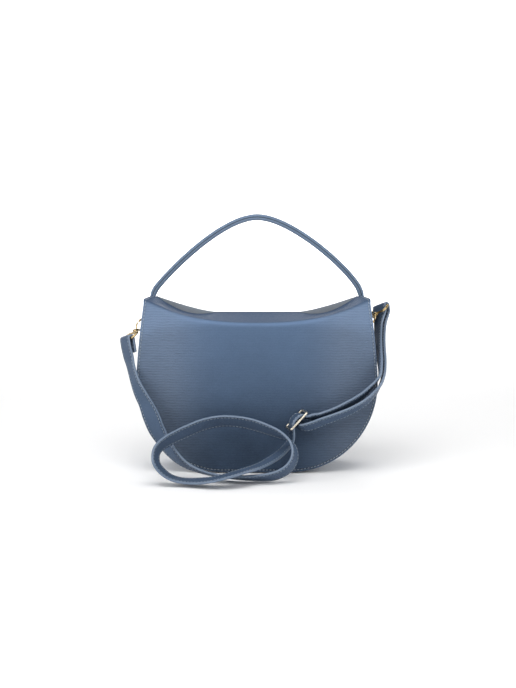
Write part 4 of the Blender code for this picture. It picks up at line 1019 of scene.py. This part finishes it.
def clasp(name):
    start, axis, sideways, bar = clasp_axes(name)

    def spot(along, across, way=sideways):
        return start + axis * along + way * across
    bow = [HOOK_TIP * (1.0 - step / 28) for step in range(29)]
    path = [spot(-HOOK_BOW * sin(turn), HOOK_BOW * cos(turn)) for turn in bow]
    neck = [spot(0.0, HOOK_BOW)] + [spot(NECK_START * a, HOOK_BOW * b) for a, b in NECK_SHARES]
    neck += [spot((NECK_START + NECK_END) / 2, 0.0), spot(NECK_END, 0.0)]
    bent = [smooth_spot(neck, step / 4) for step in range(1, 4 * (len(neck) - 1) + 1)]
    radii = [min(1.0, HOOK_TIP_RADIUS_SHARE + HOOK_TIP_GROWTH * number)
             for number in range(len(path))]
    for number in range(len(bent)):
        swell = (number / len(bent) - NECK_THIN_SHARE) / (1.0 - NECK_THIN_SHARE)
        radii.append(1.0 + NECK_SWELL * clamp(NECK_SWELL_RATE * swell))
    hand_over(wire(f"clasp_hook_{name}", path + bent, HOOK_WIRE, GOLD, radii=radii),
              f"hook_{name}", "gold", f"hook_{name}")
    gate = [spot(*place) for place in GATE_SPOTS]
    hand_over(wire(f"clasp_gate_{name}", rounded(gate, False), GATE_WIRE, GOLD),
              f"gate_{name}", "gold", f"gate_{name}")
    barrel = NECK_END + GAP
    hand_over(turned_disc(f"clasp_swivel_{name}", spot(barrel, 0.0), axis, SWIVEL_RADIUS,
                          SWIVEL_LENGTH, -SWIVEL_DISH), "strap", "gold", f"swivel_{name}")
    half = STRAP_WIDTH / 2 + GAP + EYE_WIRE
    top = barrel + SWIVEL_LENGTH + GAP + EYE_WIRE
    outline = [(CLASP_LENGTH, half), (top + EYE_SHOULDER, half), (top, half - EYE_SHOULDER)]
    outline += [(along, -across) for along, across in reversed(outline)]
    loop = rounded([spot(along, across, bar) for along, across in outline], True, 3, 0.12)
    hand_over(wire(f"clasp_eye_{name}", loop, EYE_WIRE, GOLD, closed=True), "strap", "gold",
              f"eye_{name}")


for side_name in SIDES:
    clasp(side_name)

# %% [markdown]
# ## The strap
# The strap is one long strip of hide: from its lap at the left clasp down beside the bag, along
# the table, round the loop in front, up through the buckle, on to the right clasp, round its eye
# and back down to the buckle's bar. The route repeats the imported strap's own stations. Each gives
# a place, in shares of the half width, the depth and the rings' height, and the direction across
# the strap there.

# %% Route of the strap
STRAP_ROUTE_SHARES = (
    (-1.068, -0.275, 0.7374, 0.52, -0.80, 0.25), (-1.046, -0.341, 0.6793, 0.44, -0.87, 0.22),
    (-1.008, -0.449, 0.5977, 0.51, -0.84, 0.19), (-0.956, -0.534, 0.5162, 0.71, -0.68, 0.17),
    (-0.904, -0.598, 0.4491, 0.85, -0.51, 0.12), (-0.864, -0.646, 0.3754, 0.92, -0.35, 0.17),
    (-0.820, -0.665, 0.2950, 0.84, -0.44, 0.30), (-0.758, -0.700, 0.2212, 0.62, -0.64, 0.45),
    (-0.686, -0.770, 0.1542, 0.46, -0.77, 0.43), (-0.588, -0.860, 0.0983, 0.30, -0.88, 0.36),
    (-0.464, -0.945, 0.0648, 0.12, -0.93, 0.30), (-0.346, -1.005, 0.0469, 0.03, -0.95, 0.28),
    (-0.224, -1.050, 0.0380, 0.00, -0.95, 0.30), (-0.096, -1.080, 0.0369, 0.00, -0.92, 0.38),
    (0.016, -1.095, 0.0402, -0.10, -0.88, 0.46), (0.122, -1.105, 0.0492, -0.21, -0.82, 0.54),
    (0.206, -1.085, 0.0715, -0.27, -0.82, 0.50), (0.268, -1.060, 0.1061, -0.33, -0.83, 0.45),
    (0.302, -1.010, 0.1520, -0.33, -0.88, 0.35), (0.304, -0.958, 0.2011, -0.26, -0.95, 0.20),
    (0.280, -0.900, 0.2391, -0.10, -0.98, 0.16), (0.238, -0.840, 0.2670, -0.02, -0.95, 0.32),
    (0.168, -0.785, 0.2894, 0.04, -0.84, 0.54), (0.076, -0.740, 0.3128, 0.07, -0.76, 0.64),
    (-0.012, -0.712, 0.3330, 0.05, -0.71, 0.70), (-0.100, -0.695, 0.3486, 0.03, -0.72, 0.70),
    (-0.188, -0.690, 0.3575, 0.01, -0.72, 0.69), (-0.278, -0.690, 0.3598, -0.01, -0.72, 0.70),
    (-0.366, -0.705, 0.3519, -0.05, -0.71, 0.71), (-0.454, -0.745, 0.3374, -0.10, -0.69, 0.72),
    (-0.540, -0.800, 0.3151, -0.16, -0.69, 0.71), (-0.622, -0.865, 0.2916, -0.23, -0.70, 0.68),
    (-0.702, -0.945, 0.2681, -0.23, -0.73, 0.64), (-0.768, -1.020, 0.2413, -0.21, -0.79, 0.58),
    (-0.806, -1.090, 0.2123, -0.24, -0.84, 0.48), (-0.816, -1.145, 0.1788, -0.28, -0.91, 0.32),
    (-0.808, -1.185, 0.1408, -0.29, -0.93, 0.23), (-0.772, -1.205, 0.1017, -0.30, -0.94, 0.15),
    (-0.718, -1.210, 0.0659, -0.28, -0.95, 0.10), (-0.650, -1.210, 0.0425, -0.20, -0.98, 0.04),
    (-0.570, -1.220, 0.0335, -0.12, -0.99, 0.00), (-0.468, -1.270, 0.0380, -0.04, -1.00, -0.04),
    (-0.360, -1.340, 0.0547, 0.04, -1.00, -0.01), (-0.268, -1.360, 0.0737, 0.08, -1.00, 0.01),
    (-0.184, -1.320, 0.0883, 0.12, -0.99, 0.00), (-0.090, -1.225, 0.1006, 0.11, -0.99, 0.01),
    (0.004, -1.100, 0.1106, 0.16, -0.99, -0.02), (0.094, -0.940, 0.1274, 0.20, -0.98, -0.08),
    (0.178, -0.785, 0.1542, 0.27, -0.96, -0.07), (0.250, -0.660, 0.1966, 0.27, -0.96, 0.01),
    (0.283, -0.645, 0.2380, 0.22, -0.97, 0.06), (0.288, -0.657, 0.2816, 0.20, -0.97, 0.07),
    (0.284, -0.661, 0.3218, 0.20, -0.98, 0.05), (0.289, -0.659, 0.3564, 0.20, -0.98, 0.05),
    (0.310, -0.652, 0.3776, 0.20, -0.98, 0.05), (0.339, -0.642, 0.3944, 0.19, -0.98, 0.07),
    (0.374, -0.634, 0.3922, 0.15, -0.97, 0.17), (0.412, -0.634, 0.3799, 0.06, -0.95, 0.28),
    (0.458, -0.628, 0.3788, -0.02, -0.88, 0.47), (0.516, -0.622, 0.3821, -0.03, -0.86, 0.51),
    (0.630, -0.616, 0.4145, -0.02, -0.86, 0.50), (0.745, -0.604, 0.4570, -0.05, -0.86, 0.50),
    (0.850, -0.591, 0.5050, -0.05, -0.87, 0.49), (0.921, -0.570, 0.5519, -0.08, -0.91, 0.40),
    (0.976, -0.540, 0.5966, -0.05, -0.95, 0.30), (1.012, -0.527, 0.6391, 0.02, -0.96, 0.28),
    (1.021, -0.420, 0.6972, 0.10, -0.82, 0.56), (1.018, -0.285, 0.7564, 0.16, -0.77, 0.62),
    (1.016, -0.165, 0.8145, 0.21, -0.78, 0.59), (1.018, -0.043, 0.8737, 0.28, -0.82, 0.49),
    (1.024, 0.043, 0.9318, 0.34, -0.86, 0.35),
)

RETURN_ROUTE_SHARES = (
    (0.338, -0.648, 0.3251, 0.10, -0.95, 0.28), (0.368, -0.652, 0.3184, 0.02, -0.91, 0.42),
    (0.408, -0.658, 0.3184, -0.06, -0.84, 0.54), (0.464, -0.662, 0.3296, -0.05, -0.81, 0.58),
    (0.513, -0.667, 0.3452, -0.03, -0.81, 0.58), (0.630, -0.666, 0.3788, -0.01, -0.83, 0.55),
    (0.748, -0.652, 0.4134, -0.03, -0.85, 0.52), (0.849, -0.639, 0.4536, -0.05, -0.87, 0.48),
    (0.919, -0.613, 0.4916, -0.10, -0.90, 0.40), (0.975, -0.589, 0.5363, -0.12, -0.94, 0.31),
    (1.014, -0.565, 0.5810, 0.00, -0.97, 0.22), (1.040, -0.505, 0.6324, 0.08, -0.93, 0.36),
    (1.050, -0.388, 0.6916, 0.12, -0.80, 0.58), (1.048, -0.256, 0.7497, 0.16, -0.77, 0.62),
    (1.047, -0.128, 0.8089, 0.21, -0.78, 0.59), (1.050, -0.006, 0.8670, 0.28, -0.82, 0.49),
    (1.058, 0.079, 0.9262, 0.34, -0.86, 0.35),
)

STRAP_PLACE_SIZES = (BAG_HALF_WIDTH, BASE_DEPTH, RING_BAR_HEIGHT)
FOLD_RADIUS = EYE_WIRE + GAP + STRAP_HIDE / 2


def sized(shares):
    return Vector([share * size for share, size in zip(shares, STRAP_PLACE_SIZES)])


def route(rows):
    return [(sized(row[:3]), Vector(row[3:]).normalized()) for row in rows]


def fold_axes(name):
    start, axis, _, bar = clasp_axes(name)
    down = Vector(LEG_AXIS[name])
    down = (down - bar * down.dot(bar)).normalized()
    across = down.cross(bar).normalized()
    outward = across if across.x * SIDES[name] > 0 else -across
    return start + axis * CLASP_LENGTH, bar, down, outward


def fold_leg(name, way, drop):
    """A station of the strap beside the eye's bar, on its outer side when way is 1."""
    eye, bar, down, across = fold_axes(name)
    return eye + down * drop + across * way * FOLD_RADIUS, bar


def folded(name, steps=16):
    """Up the inner leg of a fold, round the eye's bar and down the outer leg."""
    eye, bar, down, across = fold_axes(name)
    angles = [pi * step / steps for step in range(steps + 1)]
    turn = [(eye - across * FOLD_RADIUS * cos(angle) - down * FOLD_RADIUS * sin(angle), bar)
            for angle in angles]
    top = fold_leg(name, -1, 0.0)
    up = (straight(fold_leg(name, -1, STRAP_LAP), top, 8) if name == "left"
          else straight(fold_leg(name, -1, STRAP_LEG), top)[1:])
    return up + turn + straight(fold_leg(name, 1, 0.0), fold_leg(name, 1, STRAP_LEG))[1:]


def smooth_route(places, first, last, fine=7):
    middles, sides = [p for p, _ in places], [s for _, s in places]
    count = fine * abs(last - first)
    spots = [first + (last - first) * step / count for step in range(count + 1)]
    return [(smooth_spot(middles, spot), smooth_spot(sides, spot).normalized()) for spot in spots]


def straight(start, end, steps=5):
    return [(start[0].lerp(end[0], step / steps), start[1]) for step in range(steps)]


def whole_strap():
    """All stations: the fold with the lap, the long run, the right fold and the way back."""
    main = [fold_leg("left", 1, drop) for drop in (STRAP_LEG / 2, STRAP_LEG)]
    main += route(STRAP_ROUTE_SHARES)
    main += [fold_leg("right", -1, drop) for drop in (STRAP_LEG, STRAP_LEG / 2)]
    lower = route(RETURN_ROUTE_SHARES)
    lower += [fold_leg("right", 1, drop) for drop in (STRAP_LEG, STRAP_LEG / 2)]
    return (folded("left") + smooth_route(main, 1, len(main) - 2)
            + folded("right") + smooth_route(lower, len(lower) - 2, 0))


# %% Strap
STRAP_SEAM, STRAP_SEAM_SPREAD, STRAP_SEAM_DENT, THREAD_SINK = 0.0023, 0.0009, 0.00016, 0.00018
STRAP_ROUNDING, STRAP_CORNER_FALL = 0.0006, 0.00008
STRAP_CROWN, STRAP_CROWN_SHARE = 0.00012, 0.55
STRAP_EDGE_BULGE, STRAP_EDGE_FALL = 0.00015, 0.0005
LAP_RIVET_SHARE = 0.68


def strap_section():
    """The strap's outline, upper face first, and the number of points of a face and a side."""
    half, thick = STRAP_WIDTH / 2, STRAP_HIDE / 2
    face = [(half - STRAP_ROUNDING, thick - STRAP_CORNER_FALL, STRAP_ROUNDING)]
    # These points take the seam's rim value, so the leather paints shade into the seam's dent.
    for rim, lift in ((STRAP_SEAM - STRAP_SEAM_SPREAD, 0.0), (STRAP_SEAM, -STRAP_SEAM_DENT),
                      (STRAP_SEAM + STRAP_SEAM_SPREAD, 0.0),
                      (STRAP_CROWN_SHARE * half, STRAP_CROWN)):
        face.append((half - rim, thick + lift - STRAP_CROWN, rim))
    face += [(0.0, thick, half)] + [(-a, b, rim) for a, b, rim in reversed(face)]
    bulge, fall = -half + STRAP_EDGE_BULGE, thick - STRAP_EDGE_FALL
    side = [(bulge, fall, 0.0), (-half, 0.0, 0.0), (bulge, -fall, 0.0)]
    under = [(-a, -b, rim) for a, b, rim in face]
    other = [(-a, -b, rim) for a, b, rim in side]
    return face + side + under + other, len(face), len(side)


def strap_stations():
    path = whole_strap()
    spots = [spot for spot, _ in path]
    made = []
    for number, (spot, side) in enumerate(path):
        ahead = heading(spots, number)
        ahead = (ahead - side * ahead.dot(side)).normalized()
        made.append((spot, side, side.cross(ahead)))
    return made


strap_line = strap_stations()
print("strap length, m:", round(path_length([spot for spot, _, _ in strap_line]), 3))
section, face_count, side_count = strap_section()
edges = set(range(face_count - 1, face_count + side_count))
edges |= {number + face_count + side_count for number in edges}
strap = sweep("strap_hide", strap_line, section, edge_columns={n % len(section) for n in edges})
strap.data.materials.append(STRAP_LEATHER)
strap.data.materials.append(EDGE)
strap_nodes = [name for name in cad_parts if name.startswith("strap_")]
hand_over(apply_all(strap, 50), "strap", "leather", *strap_nodes)

# %% Seams of the strap
for seam_name, sideways in (("outer", 1), ("inner", -1)):
    for face_name, upwards in (("top", 1), ("under", -1)):
        lane = [spot + side * sideways * (STRAP_WIDTH / 2 - STRAP_SEAM)
                + up * upwards * (STRAP_HIDE / 2 - THREAD_SINK)
                for spot, side, up in strap_line[2:-2]]
        stitch_row(f"strap_seam_{seam_name}_{face_name}", lane, "strap")

# %% Rivet of the lap
eye, _, down, across = fold_axes("left")
lap_spot = (eye + down * STRAP_LAP * LAP_RIVET_SHARE
            - across * (FOLD_RADIUS + STRAP_HIDE / 2 + GAP))
hand_over(rivet("lap_rivet_head", lap_spot, -across), "strap", "gold", "lap_rivet")

# %% [markdown]
# ## The buckle
# The slide buckle is a flat frame of wire with a bar across its middle. The strap goes up through
# it, round, and on to the clasp. Its corners are tight and its ends catch the light.

# %% Buckle
SLIDER_PLACE_SHARES = (0.324, -0.650, 0.3631)
SLIDER_AXIS, SLIDER_SIDE = (0.68, 0.17, 0.71), (0.20, -0.98, 0.05)
SLIDER_WIRE, SLIDER_LENGTH, SLIDER_ROUNDING = 0.0011, 0.0250, 0.0015


def buckle():
    middle = sized(SLIDER_PLACE_SHARES)
    reach = Vector(SLIDER_AXIS).normalized()
    across = Vector(SLIDER_SIDE)
    across = (across - reach * across.dot(reach)).normalized()
    length, half, cut = SLIDER_LENGTH / 2, STRAP_WIDTH / 2 + 2 * GAP + SLIDER_WIRE, SLIDER_ROUNDING
    corners = [(length - cut, half), (length, half - cut), (length, cut - half),
               (length - cut, -half)]
    corners += [(-a, -b) for a, b in corners]
    loop = rounded([middle + reach * a + across * b for a, b in corners], True, 2, 0.2)
    hand_over(wire("buckle_frame", loop, SLIDER_WIRE, SILVER_GOLD, closed=True), "strap", "steel",
              "slider_frame")
    end = half - SLIDER_WIRE - GAP / 2
    bar = [middle + across * end * step / 4 for step in range(-4, 5)]
    hand_over(wire("buckle_bar", bar, SLIDER_WIRE, SILVER_GOLD), "strap", "steel", "slider_bar")


buckle()

# %% [markdown]
# ## What stays as packed
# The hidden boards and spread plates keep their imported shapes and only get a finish.

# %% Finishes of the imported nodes
def dress(material, *names):
    for name in names:
        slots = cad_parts[name].data.materials
        slots.clear()
        slots.append(material)


dress(FIBRE, "back_board", "front_board", "flap_board", "base_board")
dress(SILVER_GOLD, "snap_socket_plate", "snap_stud_plate")
dress(GOLD, "snap_socket", "snap_stud")

# %% [markdown]
# ## The table, the light and the camera
# A white sweep, one broad soft light above and in front, a weak one from each side and two for
# the floor and wall behind give the even light of a catalogue picture. The paper glows away from
# the bag, which keeps the ground white, and the sky is dimmer overhead than at its sides. The
# camera has the photograph's low angle and long lens.

# %% Sweep, lights and camera
SWEEP_SIZE, SWEEP_RISE, SWEEP_BEND = 8.0, 1.1, 0.6
GLOW_START, GLOW_FULL, GLOW = 0.7, 1.8, 0.55
SKY_GRADE = {"From Min": 0.12, "From Max": 0.30, "To Min": 1.0, "To Max": 0.36}
CAMERA_PLACE, CAMERA_DIP, CAMERA_LENS = (0.001, -1.6934, 0.368), 8.0, 85.0


def white_sweep():
    floor = added("sweep", bpy.ops.mesh.primitive_plane_add, size=SWEEP_SIZE,
                  location=(0.0, 0.0, 0.0))
    rear = SWEEP_SIZE / 2 - 0.1
    select_where(floor, "edges", lambda edge: all(point.co.y > rear for point in edge.verts))
    bpy.ops.mesh.extrude_region_move(TRANSFORM_OT_translate={"value": (0.0, 0.0, SWEEP_RISE)})
    bpy.ops.object.mode_set(mode="OBJECT")
    bend = floor.modifiers.new("bend", "BEVEL")
    bend.width, bend.segments, bend.limit_method = SWEEP_BEND, 12, "ANGLE"
    paper = Finish("white_paper", 0.9, Specular_IOR_Level=0.1, Emission_Strength=1.0)
    away = paper.node("ShaderNodeVectorMath", {"operation": "LENGTH"}, {0: paper.place()}, output=1)
    paper.set(Base_Color=(0.95, 0.95, 0.95, 1.0),
              Emission_Color=away.between(GLOW_START, GLOW_FULL) * GLOW)
    floor.data.materials.append(paper.material)
    apply_all(floor)


def soft_light(name, place, size, power, aim=(0.0, 0.0, 0.10)):
    data = bpy.data.lights.new(name, "AREA")
    data.shape, data.size, data.energy = "SQUARE", size, power
    lamp = bpy.data.objects.new(name, data)
    scene.collection.objects.link(lamp)
    lamp.location = place
    lamp.rotation_euler = (Vector(aim) - lamp.location).to_track_quat("-Z", "Y").to_euler()


scene = bpy.context.scene
white_sweep()
soft_light("key_light", (-0.10, -0.70, 1.05), 0.9, 9.0)
soft_light("left_light", (-0.75, -0.50, 0.45), 0.5, 2.6)
soft_light("right_light", (0.75, -0.50, 0.45), 0.5, 2.2)
soft_light("floor_light", (0.0, 1.2, 1.5), 1.2, 15.0, aim=(0.0, 1.8, 0.0))
soft_light("wall_light", (0.0, 2.3, 1.9), 2.0, 80.0, aim=(0.0, 4.0, 0.2))
sky = bpy.data.worlds.new("studio")
sky.use_nodes = True
tree = sky.node_tree
background = tree.nodes["Background"]
background.inputs["Color"].default_value = (1.0, 1.0, 1.0, 1.0)
ray = tree.nodes.new("ShaderNodeTexCoord")
parts = tree.nodes.new("ShaderNodeSeparateXYZ")
dim = tree.nodes.new("ShaderNodeMapRange")
tree.links.new(ray.outputs["Generated"], parts.inputs[0])
tree.links.new(parts.outputs["Z"], dim.inputs["Value"])
for socket, value in SKY_GRADE.items():
    dim.inputs[socket].default_value = value
tree.links.new(dim.outputs["Result"], background.inputs["Strength"])
scene.world = sky
scene.view_settings.view_transform = "Standard"

lens = bpy.data.cameras.new("photo_camera")
lens.lens, lens.sensor_width = CAMERA_LENS, 36.0
camera = bpy.data.objects.new("photo_camera", lens)
scene.collection.objects.link(camera)
camera.location = CAMERA_PLACE
camera.rotation_euler = (radians(90.0 - CAMERA_DIP), 0.0, 0.0)
scene.camera = camera
